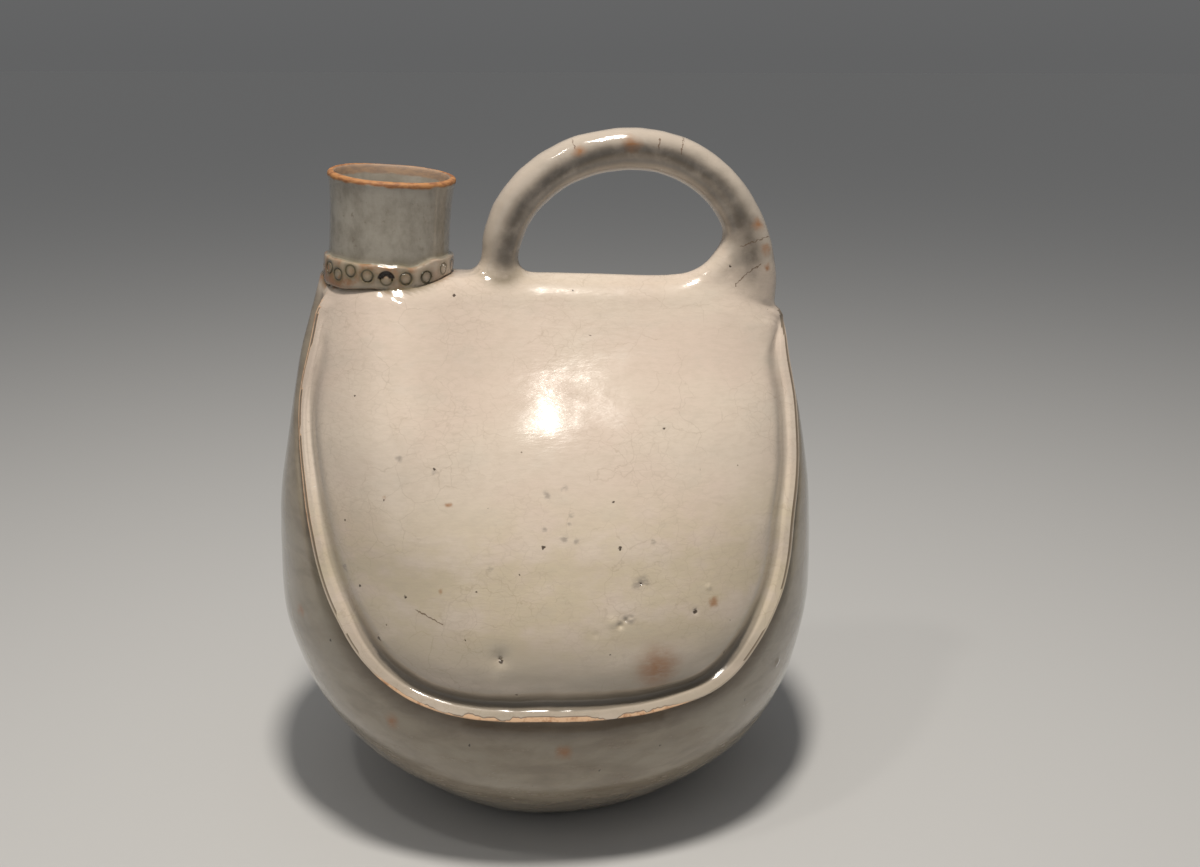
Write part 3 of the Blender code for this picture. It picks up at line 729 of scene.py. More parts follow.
# Small marks pressed or fired into the skin: centre, radius and height in mm
relief = (
    ((-22.9, -96.3, 94.9), 4.6, -1.35), ((-22.7, -96.4, 94.4), 0.9, -0.95), ((-21.6, -96.6, 89.9), 3.2, 0.35),
    ((-62.7, -26.3, 226.0), 1.3, -0.70), ((19.4, -94.0, 106.6), 2.4, 0.55), ((22.2, -93.6, 105.0), 1.5, -0.95),
    ((24.4, -93.0, 106.8), 1.0, -0.75), ((26.2, -92.6, 108.2), 0.8, -0.35), ((30.5, -86.3, 118.6), 3.0, -0.15),
    ((30.5, -86.3, 118.6), 0.8, -0.65), ((57.2, -80.9, 113.7), 1.5, 0.45), ((51.5, -86.1, 106.3), 1.7, -0.35),
    ((91.0, -59.9, 69.6), 2.2, 0.50), ((-58.2, -28.7, 216.0), 1.4, -0.25), ((64.7, -83.1, 86.6), 0.8, -0.45),
    ((71.4, -79.0, 93.7), 0.9, 0.30), ((12.8, -95.4, 102.6), 1.7, -0.22), ((-68.2, -80.1, 96.9), 1.2, -0.20),
    ((-38.0, 86.0, 118.0), 1.4, -0.40), ((31.0, 93.0, 98.0), 2.4, -0.35), ((-12.0, 70.0, 148.0), 1.2, 0.30),
)
unevenness = {
    "waves": ((46.0, 0.42), (15.0, 0.11), (6.0, 0.036)),   # size and height in mm
    "place": (7.3, 1.9, 4.1),   # where in the noise they are taken from
    "onNeck": 0.45,
}
groove = {   # along the handle's front
    "turns": (-16.0, -19.0, -3.0, -10.0, -12.0),   # degrees from facing front, from the left root to the right
    "width": 17.0,           # degrees
    "shadeWidth": 32,
    "depth": 0.0011,
}
fillet = {"reach": 0.0042, "passes": 46, "angle": 12.0}
root = {"x": 0.0815, "z": 0.2185, "reach": 0.0075}       # where the handle's right root runs out into the body
rimTip = {"slope": 0.055, "reach": 0.036}                # the mouth is cut lower toward the front
zone = {   # where the parts of the skin begin and end, in m; radii are on the neck's axis
    "joints": 0.185,
    "handleJoint": 0.212,
    "handleLeft": -0.032,
    "handleFoot": 0.2215,
    "collarJoint": (0.214, 0.236),
    "collarRadii": (0.0225, 0.0285),
    "neckFoot": 0.2195,
    "neckRight": -0.033,
    "neckRadii": (0.0232, 0.0275),
    "aroundNeck": 0.030,
    "foot": 0.0004,
}
lipLine = rings[:, body["panelRings"] + [high for high, _ in seam["profile"]].index(0.0)]


def refineMarks(thing):   # more faces where a small mark needs them, kept on the true skin
    shape = bmesh.new()
    shape.from_mesh(thing.data)
    small = [(Vector(spot) / 1000, radius / 1000 + 0.0016) for spot, radius, _ in relief if radius <= 3.0]
    middles = [(edge, (edge.verts[0].co + edge.verts[1].co) / 2) for edge in shape.edges]
    chosen = [edge for edge, centre in middles if any((centre - spot).length < reach for spot, reach in small)]
    before = set(shape.verts)
    bmesh.ops.subdivide_edges(shape, edges=chosen, cuts=4, use_grid_fill=True)
    fresh = [vertex for vertex in shape.verts if vertex not in before]
    deep = halfThickness([vertex.co.x for vertex in fresh], [vertex.co.z for vertex in fresh])
    for vertex, y in zip(fresh, deep):
        if abs(abs(vertex.co.y) - y) < 0.0006:
            vertex.co.y = math.copysign(y, vertex.co.y)
    shape.to_mesh(thing.data)
    shape.free()


def coords(mesh):
    flat = np.empty(len(mesh.vertices) * 3, dtype=np.float32)
    mesh.vertices.foreach_get("co", flat)
    return flat.reshape(-1, 3).astype(float)


def setCoords(mesh, points):
    mesh.vertices.foreach_set("co", points.astype(np.float32).ravel())
    mesh.update()


def inNeck(points):   # the same points on the leaning neck's own axis
    turn = np.array(neckFrame().inverted())
    return points @ turn[:3, :3].T + turn[:3, 3]


def concaveEdges(thing, keep):
    shape = bmesh.new()
    shape.from_mesh(thing.data)
    limit = -math.radians(fillet["angle"])
    found = []
    for edge in shape.edges:
        if len(edge.link_faces) == 2 and edge.calc_face_angle_signed(0.0) < limit and keep(edge.verts[0].co):
            found.append((edge.verts[0].co + edge.verts[1].co) / 2)
    shape.free()
    return found


def treeOf(points):
    tree = KDTree(len(points))
    for k, point in enumerate(points):
        tree.insert(point, k)
    tree.balance()
    return tree


def distances(tree, points, limit):   # to the nearest point of the tree, or the limit
    out = np.full(len(points), limit)
    for k, point in enumerate(points):
        found = tree.find(point)
        if found[0] is not None:
            out[k] = min(found[2], limit)
    return out


def relax(thing, weight, passes):   # moves each point toward its neighbours' middle, by its weight
    mesh = thing.data
    points = coords(mesh)
    pairs = np.empty(len(mesh.edges) * 2, dtype=np.int32)
    mesh.edges.foreach_get("vertices", pairs)
    pairs = pairs.reshape(-1, 2)
    active = (weight[pairs[:, 0]] > 0) | (weight[pairs[:, 1]] > 0)
    a, b = pairs[active, 0], pairs[active, 1]
    ends, others = np.concatenate([a, b]), np.concatenate([b, a])
    degree = np.maximum(np.bincount(ends, minlength=len(points)), 1)
    for _ in range(passes):
        total = np.stack([np.bincount(ends, points[others, k], len(points)) for k in range(3)], axis=1)
        mean = total / degree[:, None]
        points = np.where(weight[:, None] > 0, points + (mean - points) * (0.6 * weight)[:, None], points)
    setCoords(mesh, points)


def within(value, limits):
    return (value > limits[0]) & (value < limits[1])


def atHandle(p):   # beside the handle's roots, clear of the neck
    return p.z > zone["handleJoint"] and p.x > zone["handleLeft"] and math.hypot(p.x - neckX, p.y) > 0.029


def atCollar(p):
    return within(p.z, zone["collarJoint"]) and within(math.hypot(p.x - neckX, p.y), zone["collarRadii"])


def skinNormals(mesh):
    flat = np.empty(len(mesh.vertices) * 3, dtype=np.float32)
    mesh.vertex_normals.foreach_get("vector", flat)
    return flat.reshape(-1, 3).astype(float)


refineMarks(flask)
onHandle, onCollar = concaveEdges(flask, atHandle), concaveEdges(flask, atCollar)
handleJoint, collarJoint = treeOf(onHandle), treeOf(onCollar)
leftRoot = treeOf([p for p in onHandle if p.x < 0.0])
points = coords(flask.data)
high = points[:, 2] > zone["joints"]
gap = np.full(len(points), 1.0)
gap[high] = distances(handleJoint, points[high], 1.0)
relax(flask, np.clip(1 - gap / (3 * fillet["reach"]), 0, 1) ** 0.8, fillet["passes"])
points = coords(flask.data)
away = np.hypot(points[:, 0] - root["x"], points[:, 2] - root["z"])
for side in (-1, 1):   # one smooth sweep in place of the uneven meeting of the two forms
    near = (points[:, 1] * side > 0.003) & (away < 1.5 * root["reach"])
    ring = near & (away > 0.6 * root["reach"])
    x, z = (points[:, 0] - root["x"]) * 100, (points[:, 2] - root["z"]) * 100
    terms = np.stack([np.ones(len(x)), x, z, x * x, x * z, z * z, x ** 3, z ** 3], axis=1)
    bend = np.linalg.lstsq(terms[ring], points[ring, 1], rcond=None)[0]
    share = (1 - fade(away, 0.55 * root["reach"], root["reach"])) * near
    points[:, 1] += (terms @ bend - points[:, 1]) * share
setCoords(flask.data, points)
print("joints softened:", len(onHandle), "edges at the handle,", len(onCollar), "at the collar")

# Which part of the flask each point belongs to
points, normals = coords(flask.data), skinNormals(flask.data)
onNeckAxis = inNeck(points)
radial = np.hypot(onNeckAxis[:, 0], onNeckAxis[:, 1])
skin = halfThickness(points[:, 0], points[:, 2])
handleLine = centreLine(handle["path"], 300)
handleTree = treeOf([(x, 0.0, z) for x, z, _ in handleLine])
found = [handleTree.find(point) for point in points]
handleIndex = np.array([place[1] for place in found])
handleGap = np.array([place[2] for place in found]) - handleLine[handleIndex, 2]
isHandle = (np.abs(handleGap) < 0.0016) & (points[:, 2] > zone["handleFoot"])
isNeck = within(radial, zone["neckRadii"]) & (points[:, 2] > zone["neckFoot"]) & (points[:, 0] < zone["neckRight"])
isBore = (radial < zone["neckRadii"][0]) & (points[:, 2] > zone["joints"])
facesIn = np.einsum("ij,ij->i", normals, points - middle) < 0
isHollow = facesIn & (np.abs(points[:, 1]) < skin - 0.0022) & ~isHandle & ~isNeck
isHollow = isHollow & (points[:, 2] < zone["handleJoint"]) | isBore
isFoot = points[:, 2] < zone["foot"]

# Unevenness, small marks, the handle's groove and the slant of the mouth
moved = np.zeros(len(points))
for size, height in unevenness["waves"]:
    scale, start = 1000 / size, Vector(unevenness["place"])
    moved += height / 1000 * np.array([noise.noise(Vector(p) * scale + start) for p in points])
moved *= np.where(isNeck | (radial < zone["aroundNeck"]), unevenness["onNeck"], 1.0)
for spot, radius, height in relief:
    away = np.linalg.norm(points - np.array(spot) / 1000, axis=1) * 1000 / radius
    moved += height / 1000 * np.exp(-1.6 * away ** 2)
centre = np.stack([handleLine[:, 0], np.zeros(len(handleLine)), handleLine[:, 1]], axis=1)
along = np.gradient(centre, axis=0)
along /= np.linalg.norm(along, axis=1, keepdims=True)
outer = np.stack([-along[:, 2], np.zeros(len(along)), along[:, 0]], axis=1)   # away from the loop's middle
arm = points - centre[handleIndex]
turn = np.degrees(np.arctan2(np.einsum("ij,ij->i", arm, outer[handleIndex]), -arm[:, 1]))
run = handleIndex / (len(handleLine) - 1)
offGroove = turn - np.interp(run, np.linspace(0, 1, len(groove["turns"])), groove["turns"])
fadeEnds = fade(run, 0.10, 0.22) * (1 - fade(run, 0.70, 0.84))
moved -= groove["depth"] * (np.exp(-(offGroove / groove["width"]) ** 2) * fadeEnds * isHandle)
moved[isHollow | isFoot] = 0.0
low = fade(points[:, 2], 0.0, 0.006)
tip = rimTip["slope"] * onNeckAxis[:, 1] * fade(onNeckAxis[:, 2], -rimTip["reach"], 0.0)
tip *= (radial < zone["aroundNeck"]) & (points[:, 2] > 0.222) & (points[:, 0] < -0.03)
setCoords(flask.data, points + normals * (moved * low)[:, None] + tip[:, None] * (0.0, 0.0, 1.0))
print("surface worked")

# What the finish follows: distance from the lip's edge, the collar's band, joints where glaze pools
points = coords(flask.data)
lipTree = treeOf(np.concatenate([lipLine, lipLine * (1, -1, 1)]))
fromLip = distances(lipTree, points, 0.03)
aroundPanel = np.arctan2(points[:, 2] - middle[2], points[:, 0])
onPanel = np.hypot(points[:, 0], points[:, 2] - middle[2]) < seamDistance(aroundPanel)
facing = skinNormals(flask.data)[:, 1] * np.sign(points[:, 1])   # small on the lip's edge and under it
onPanel &= ~((fromLip < 0.0032) & (facing < 0.40))
aroundNeck = np.arctan2(onNeckAxis[:, 1], onNeckAxis[:, 0])
bandTop = worldToNeck(aroundNeck, closedLine(collar["topEdge"], aroundNeck))
bandLow = worldToNeck(aroundNeck, closedLine(collar["lowEdge"], aroundNeck))
band = within(radial, [neck["radius"] + share * collar["proud"] for share in (0.4, 1.7)])
band &= within(onNeckAxis[:, 2], (bandLow - 0.0008, bandTop + 0.0004))
overBand = (radial < zone["neckRadii"][1]) & (onNeckAxis[:, 2] > bandTop - 0.0003) & (points[:, 0] < zone["neckRight"])
pool = np.zeros(len(points))
for joint, reach in ((leftRoot, 0.0030), (collarJoint, 0.0012)):
    pool[high] = np.maximum(pool[high], np.exp(-distances(joint, points[high], 0.05) / reach))
# a band of painted shade along the handle's groove
shade = np.exp(-(offGroove / groove["shadeWidth"]) ** 2) * fade(run, 0.02, 0.12) * (1 - fade(run, 0.82, 0.93))
for name, values in {
        "lipGap": np.where(onPanel, -fromLip, fromLip) * 1000,
        "lipRaised": seamStrength(aroundPanel) * (~isHollow),
        "collarBand": band,
        "pooled": pool,
        "grooveShade": shade * (np.abs(handleGap) < 0.004) * (points[:, 1] < 0),
        "inside": isHollow,
        "onNeck": overBand | isBore,
        "belowRim": -onNeckAxis[:, 2] * 1000 - 1.6 * isBore,
        "rimZone": (radial < zone["aroundNeck"]) & (points[:, 2] > 0.24),
        "onHandle": (1 - fade(handleGap, 0.0014, 0.0045)) * fade(points[:, 2], 0.2225, 0.229)}.items():
    addAttribute(flask.data, name, values)
for spare in ("stampTurn", "rollRadius"):
    if spare in flask.data.attributes:
        flask.data.attributes.remove(flask.data.attributes[spare])
print("finish marked out")

# Where the surface is marked, in mm: place and radius, seen from the front unless y is positive
marks = {
    "specks": (
        (43.7, -49.2, 167.6, .55), (21.6, -70.5, 145.6, .5), (-5.4, -81.4, 132.6, .6), (-75.4, -45.1, 182.9, .45),
        (-17.0, -97.1, 79.3, .5), (-68.2, -80.1, 96.9, .8), (-57.0, -82.9, 115.1, .5), (-30.9, -87.8, 118.2, .45),
        (-45.4, -67.6, 159.7, .5), (-37.0, -19.7, 216.4, .5), (-64.1, -71.2, 149.3, .4), (64.7, -83.1, 86.6, .5),
        (51.5, -86.1, 106.3, .9), (30.7, -86.4, 118.4, .6), (-22.7, -96.5, 94.3, .85), (23.3, -81.0, 130.8, .6),
        (77.2, -1.5, 224.2, .45), (11.2, -9.0, 215.8, .4), (-25.7, -73.1, 145.6, .3), (17.2, -20.8, 199.4, .35),
        (-35.0, -92.8, 101.3, .35), (57.0, -58.4, 153.3, .3), (-79.7, -64.3, 139.3, .4), (-74.5, -73.2, 116.2, .45),
        (-14.5, -86.2, 123.7, .35), (18.0, -97.0, 95.0, .35), (66.2, -81.2, 99.7, .35), (-34.7, -91.4, 56.6, .5),
        (15.0, -92.0, 43.4, .5), (38.6, -89.6, 51.6, .45), (-88.1, -64.9, 89.9, .6), (75.3, -72.7, 60.0, .5),
        (-34.0, 84.0, 120.0, .6), (22.0, 71.0, 145.0, .5), (48.0, 88.0, 92.0, .7), (-8.0, 97.0, 88.0, .5),
    ),
    "smudges": (
        (-3.4, -69.7, 148.0, 2.0), (2.8, -67.4, 150.3, 1.6), (6.2, -73.9, 142.5, 1.8), (-5.2, -77.5, 138.2, 1.5),
        (5.2, -77.0, 138.5, 1.4), (2.3, -79.5, 135.2, 1.6), (7.2, -80.0, 134.2, 1.5), (35.9, -78.7, 131.7, 1.6),
        (23.3, -81.0, 130.8, 1.4), (-58.2, -66.5, 163.2, 1.8), (-45.5, -68.1, 158.9, 1.2), (-25.5, -85.1, 125.6, 1.6),
        (-81.6, -66.9, 121.2, 2.2), (30.5, -86.5, 118.5, 3.4), (26.0, -93.0, 108.0, 2.4),
    ),
    "rust": (
        (59.5, -82.2, 108.4, 2.3), (36.2, -94.2, 87.3, 9.5), (0.8, -95.4, 53.7, 3.6), (34.8, -8.0, 273.6, 3.6),
        (13.5, -7.6, 271.3, 3.0), (90.7, -6.0, 231.1, 2.8), (88.0, -7.0, 241.4, 3.4), (-64.1, -71.2, 149.3, 1.0),
        (-40.8, -74.0, 147.6, 1.3), (-64.7, -78.8, 60.7, 4.0), (-44.1, -85.8, 118.6, 1.3), (91.5, -6.2, 224.2, 2.0),
        (-101.6, -47.0, 94.8, 3.4), (28.0, 96.0, 84.0, 4.0), (-52.0, 84.0, 68.0, 5.0),
    ),
    "blots": ((79.0, -9.0, 242.0, 9.0), (71.0, -9.0, 256.0, 7.0), (-14.0, -8.0, 230.0, 8.0)),
}
cracks = (   # chains of points
    ((80.3, -8.3, 232.8), (82.6, -9.0, 233.2), (84.7, -9.0, 234.6), (92.1, -4.5, 236.1)),
    ((56.6, -2.3, 275.9), (55.6, -6.1, 273.2), (55.0, -8.1, 270.0)), ((46.3, -6.3, 276.2), (45.8, -8.3, 272.0)),
    ((11.7, -3.9, 274.9), (12.3, -6.9, 272.0)), ((88.6, -7.3, 225.1), (83.5, -8.3, 221.3), (78.6, -9.3, 216.8)),
    ((-53.2, -85.3, 110.7), (-47.2, -87.8, 108.3), (-43.5, -89.3, 106.5)),
)
scratches = (((36.0, -93.7, 77.6), (46.8, -90.6, 78.6)), ((-96.9, -41.6, 146.4), (-92.4, -47.1, 147.4)))

shades = {   # red, green and blue of what each layer is mixed toward
    "cream": (0.655, 0.565, 0.470), "pinkCream": (0.640, 0.530, 0.445), "oliveCream": (0.585, 0.500, 0.345),
    "lowerBrownAndShade": (0.370, 0.318, 0.240), "greyCream": (0.545, 0.490, 0.415), "warmCream": (0.520, 0.435, 0.345),
    "sideOliveAndShade": (0.300, 0.255, 0.185), "sideBrownAndShade": (0.205, 0.165, 0.112), "sidePale": (0.335, 0.300, 0.235),
    "grime": (0.205, 0.150, 0.100), "crazing": (0.300, 0.225, 0.155), "wideCrazing": (0.290, 0.210, 0.135),
    "neckPale": (0.370, 0.345, 0.295), "neckDark": (0.230, 0.210, 0.172), "neckFleck": (0.150, 0.115, 0.080),
    "handleDusk": (0.420, 0.375, 0.315), "handleGrey": (0.430, 0.375, 0.315), "handleBlot": (0.115, 0.095, 0.075),
    "groovePaintedShade": (0.095, 0.078, 0.060), "collarTan": (0.420, 0.335, 0.245), "collarRust": (0.360, 0.165, 0.072),
    "collarGrey": (0.300, 0.270, 0.215), "ringDirt": (0.060, 0.040, 0.026), "pooledOlive": (0.125, 0.102, 0.050),
    "stampShadow": (0.015, 0.010, 0.008), "smudge": (0.270, 0.235, 0.205), "rust": (0.330, 0.140, 0.045),
    "iron": (0.045, 0.028, 0.018), "crack": (0.120, 0.070, 0.038), "scratch": (0.700, 0.660, 0.590),
    "pinhole": (0.100, 0.065, 0.040), "seamPoolAndShade": (0.150, 0.128, 0.098), "behindLipDirtAndShadow": (0.110, 0.075, 0.048),
    "chipShade": (0.130, 0.080, 0.050), "clayPale": (0.700, 0.450, 0.270), "clayRed": (0.420, 0.190, 0.085),
    "rimClay": (0.420, 0.185, 0.058), "rimDark": (0.240, 0.090, 0.030), "inside": (0.300, 0.265, 0.215),
}
glaze = bpy.data.materials.new("creamGlaze")
glaze.use_nodes = True
net = glaze.node_tree
net.nodes.clear()


def add(kind, sockets, **settings):
    return addNode(net, kind, sockets, **settings)


def count(way, a, b=0.0, clamp=False):
    return add("ShaderNodeMath", {0: a, 1: b}, operation=way, use_clamp=clamp).outputs[0]


def times(*values):
    total = values[0]
    for value in values[1:]:
        total = count("MULTIPLY", total, value)
    return total


def plus(*values):
    total = values[0]
    for value in values[1:]:
        total = count("ADD", total, value)
    return total


def vector(way, a, b, output=0):
    return add("ShaderNodeVectorMath", {0: a, 1: b}, operation=way).outputs[output]


def step(value, start, end):   # 0 before start, 1 past end; falls where end is below start
    return add("ShaderNodeMapRange", {"Value": value, "From Min": start, "From Max": end},
               interpolation_type="SMOOTHSTEP").outputs[0]


def mixed(share, under, over):   # a named shade or a colour made above, mixed toward another by the share
    under, over = (shades[side] + (1.0,) if isinstance(side, str) else side for side in (under, over))
    return add("ShaderNodeMix", {0: share, 6: under, 7: over}, data_type="RGBA", clamp_factor=True).outputs[2]


def layered(colour, *layers):   # each layer is a share, how much of it, and a shade or colour
    for share, amount, shade in layers:
        colour = mixed(times(share, amount), colour, shade)
    return colour


def split(value, k):
    return add("ShaderNodeSeparateXYZ", {0: value}).outputs[k]


def stretched(place, x, y, z, shift=0.0):
    return vector("ADD", vector("MULTIPLY", place, (x, y, z)), (shift, shift, shift))


def cloud(stretch, size, detail=3.0, rough=0.55, bend=0.0):   # noise with features of this size in mm
    return add("ShaderNodeTexNoise", {"Vector": stretched(place, *stretch), "Scale": 1000 / size, "Detail": detail,
                                      "Roughness": rough, "Distortion": bend}).outputs["Fac"]


def astray(scale, size):   # the place, moved about by noise up to this size in m, for ragged edges
    drift = add("ShaderNodeTexNoise", {"Vector": place, "Scale": scale, "Detail": 3.0}).outputs["Color"]
    return vector("ADD", place, vector("MULTIPLY", vector("SUBTRACT", drift, (0.5, 0.5, 0.5)), (size, size, size)))


def cells(stretch, scale):   # distance from the edges of cracked cells
    return add("ShaderNodeTexVoronoi", {"Vector": stretched(loose, *stretch), "Scale": scale},
               feature="DISTANCE_TO_EDGE").outputs["Distance"]


def level(name):
    return add("ShaderNodeAttribute", {}, attribute_name=name).outputs["Fac"]


def onSkin(x, y, z):   # the point of the finished surface next to a mark
    return tuple(flask.closest_point_on_mesh(Vector((x, y, z)) / 1000)[1])


def least(values):
    total = values[0]
    for value in values[1:]:
        total = count("MINIMUM", total, value)
    return total


def nearest(place, spots):   # distance to the nearest spot, as a share of its radius
    return least([count("DIVIDE", vector("DISTANCE", place, onSkin(x, y, z), "Value"), radius / 1000)
                  for x, y, z, radius in spots])


def nearLines(place, chains):   # distance in mm to the nearest piece of the chains, as seen from the front
    flat, gaps = (1.0, 0.15, 1.0), []
    place = vector("MULTIPLY", place, flat)
    for chain in chains:
        for start, end in zip(chain[:-1], chain[1:]):
            start, end = Vector(flat) * Vector(onSkin(*start)), Vector(flat) * Vector(onSkin(*end))
            run = end - start
            arm = vector("SUBTRACT", place, tuple(start))
            share = count("MULTIPLY", vector("DOT_PRODUCT", arm, tuple(run), "Value"), 1 / run.length_squared, True)
            foot = add("ShaderNodeVectorMath", {0: tuple(run), "Scale": share}, operation="SCALE").outputs[0]
            gaps.append(count("MULTIPLY", vector("DISTANCE", arm, foot, "Value"), 1000.0))
    return least(gaps)


def nearRing(place, middles, radius):   # distance in mm to the nearest stamped line
    gaps = [count("SUBTRACT", vector("DISTANCE", place, tuple(spot), "Value"), radius) for spot in middles]
    return count("MULTIPLY", least([count("ABSOLUTE", gap) for gap in gaps]), 1000.0)


place = add("ShaderNodeTexCoord", {}).outputs["Object"]
ragged, loose = astray(700.0, 0.0022), astray(160.0, 0.006)
height, across = count("MULTIPLY", split(place, 2), 1000.0), count("MULTIPLY", split(place, 0), 1000.0)
lipGap, lipRaised, onNeck, belowRim, onHandle, onCollar, pooled, grooveShadeBand, inside = (level(name) for name in (
    "lipGap", "lipRaised", "onNeck", "belowRim", "onHandle", "collarBand", "pooled", "grooveShade", "inside"))
onGusset = times(step(lipGap, 0.2, 1.6), lipRaised)

# Body colour: pinkish cream above, olive cream round the belly, greyer and darker below (partly a browner glaze,
# partly painted shade), in soft clouds
broad = cloud((1, 1, 1.6), 55, 3.0)
soft = cloud((0.8, 0.8, 1.5, 0.31), 16, 4.0, 0.6)
fine = cloud((0.55, 0.55, 1.6, 0.73), 2.6, 4.0, 0.65)
olive = times(step(height, 78, 104), step(height, 158, 122), step(soft, 0.30, 0.62))
# darker towards the bottom: partly a browner glaze, partly painted shade where the belly turns away from the light
lower = times(step(height, 118, 70), step(cloud((0.6, 0.6, 1.8, 1.4), 24, 4.0), 0.22, 0.60))
colour = layered(mixed(step(broad, 0.35, 0.68), "cream", "pinkCream"),
                 (olive, 0.75, "oliveCream"), (lower, 0.72, "lowerBrownAndShade"),
                 (step(soft, 0.50, 0.72), 0.28, "greyCream"), (step(fine, 0.36, 0.70), 0.30, "warmCream"))

# The sides behind the seam are streaked with brown; their dark base colours are partly painted shade
streak = step(cloud((0.6, 0.6, 1.3, 2.1), 10.0, 4.0, 0.58, 0.4), 0.34, 0.70)
pale = step(cloud((0.7, 0.7, 1.3, 5.2), 30, 4.0), 0.45, 0.70)
grime = times(step(cloud((0.5, 0.5, 1.7, 3.7), 9, 5.0, 0.7), 0.48, 0.74), step(height, 95, 30))
# the olive and brown here are darker than the glaze's own tone, as painted shade
sides = layered(mixed(streak, "sideOliveAndShade", "sideBrownAndShade"), (pale, 0.55, "sidePale"), (grime, 0.55, "grime"))

# Fine crazing, wider than high, dark where dirt has got in
crazeHere = step(cloud((1, 1, 1, 8.8), 38, 2.0), 0.36, 0.62)
crazeLine = times(step(cells((0.55, 0.55, 1.0), 330.0), 0.055, 0.0), crazeHere)
wideHere = step(cloud((1, 1, 1, 6.6), 26, 2.0), 0.46, 0.60)
wideLine = times(step(cells((0.8, 0.8, 1.0, 0.9), 90.0), 0.018, 0.0), wideHere)

# The neck is greyer and clearer, its colours darkened in part as painted shade; the handle carries a patchy band of
# painted shade along its groove
mottle = step(cloud((1, 1, 0.7, 4.4), 11, 5.0, 0.65), 0.36, 0.68)
fleck = step(cloud((1, 1, 1, 1.1), 3.2, 4.0, 0.7), 0.60, 0.72)
# neck colour: a greyer glaze, darkened further as painted shade
neckGreyAndShade = layered(mixed(mottle, "neckPale", "neckDark"), (fleck, 0.6, "neckFleck"))
dusky = step(cloud((1, 1, 1, 2.7), 13, 5.0, 0.65), 0.34, 0.60)
# patchy strength of the painted shade band along the handle's groove
grooveShadeAmount = plus(0.55, times(step(cloud((1, 1, 1, 7.7), 9, 4.0), 0.30, 0.62), 0.45))
blot = step(nearest(loose, marks["blots"]), 1.3, 0.1)
patchy = step(cloud((1, 1, 1, 5.5), 6.0, 3.0, 0.5), 0.20, 0.62)

# Stained collar, with dirt in its stamped rings, glaze pooled olive in the joints, and a painted shadow on the upper
# side of the deepest stamp
stain = step(cloud((1, 1, 1, 9.3), 8.5, 4.0, 0.6), 0.40, 0.62)
greyed = step(cloud((1, 1, 1, 3.9), 5, 4.0), 0.50, 0.68)
band = layered(mixed(stain, "collarTan", "collarRust"), (greyed, 0.7, "collarGrey"))
stampMiddles = [stampPlace(*spot).translation for spot in stamps["spots"]]
ringDirt = step(nearRing(place, stampMiddles, stamps["radius"]), 0.46, 0.22)
ringDirt = times(ringDirt, step(onCollar, 0.3, 0.7), step(soft, 0.05, 0.50))
deepest = stampMiddles[max(range(len(stampMiddles)), key=lambda k: stamps["spots"][k][2])]
overMiddle = count("SUBTRACT", height, deepest.z * 1000)
# painted shadow: a near-black crescent on the upper half of the deepest stamp, without coat
stampShadow = times(step(nearRing(place, [deepest], stamps["radius"]), 1.30, 0.90), step(overMiddle, 0.0, 0.7))
# the groove layer below is a band of painted shade; the last layer is the painted shadow in the deepest stamp
colour = layered(colour, (onGusset, 0.85, sides), (crazeLine, 0.15, "crazing"), (wideLine, 0.22, "wideCrazing"),
                 (onNeck, 0.92, neckGreyAndShade), (times(onHandle, dusky), 0.42, "handleDusk"),
                 (onHandle, 0.60, "handleGrey"), (times(grooveShadeBand, 0.92), grooveShadeAmount, "groovePaintedShade"),
                 (times(onHandle, blot, patchy), 0.70, "handleBlot"),
                 (onCollar, plus(0.35, times(step(across, -42, -60), 0.60)), band), (ringDirt, 0.86, "ringDirt"),
                 (times(pooled, 0.85), step(soft, 0.18, 0.50), "pooledOlive"), (stampShadow, 0.97, "stampShadow"))

# Marks: smudges under the glaze, iron specks, rust, cracks, scratches and pinholes
smudged = times(step(nearest(loose, marks["smudges"]), 1.15, 0.25), step(fine, 0.36, 0.56))
rusty = times(step(nearest(loose, marks["rust"]), 1.35, 0.0), plus(0.6, times(step(fine, 0.25, 0.60), 0.4)))
iron = step(nearest(ragged, marks["specks"]), 1.35, 0.75)
front = step(split(place, 1), 0.0, -0.004)
cracked = times(step(nearLines(ragged, cracks), 0.36, 0.10), front)
scratched = times(step(nearLines(place, scratches), 0.26, 0.10), front)
pinholes = add("ShaderNodeTexVoronoi", {"Vector": place, "Scale": 95.0}).outputs
chosen = step(add("ShaderNodeSeparateColor", {0: pinholes["Color"]}).outputs[0], 0.80, 0.81)
pinhole = times(step(pinholes["Distance"], 0.042, 0.020), chosen)
colour = layered(colour, (smudged, 0.62, "smudge"), (rusty, 0.85, "rust"), (iron, 0.92, "iron"),
                 (cracked, 0.80, "crack"), (scratched, 0.70, "scratch"), (pinhole, 0.75, "pinhole"))

# Seam: the hollow beside the lip greyed by pooled glaze and painted shade, dirt and painted shadow behind the lip,
# bare clay along the edge
low = step(height, 112, 78)
hollowEdge = plus(lipGap, times(low, -1.9))     # the strip is slimmer round the bottom
# the hollow beside the lip: pooled glaze, darkened further as painted shade, more round the bottom
hollowPoolAndShade = times(step(hollowEdge, -15.0, -8.4), step(hollowEdge, -5.3, -6.3), lipRaised, step(height, 205, 175))
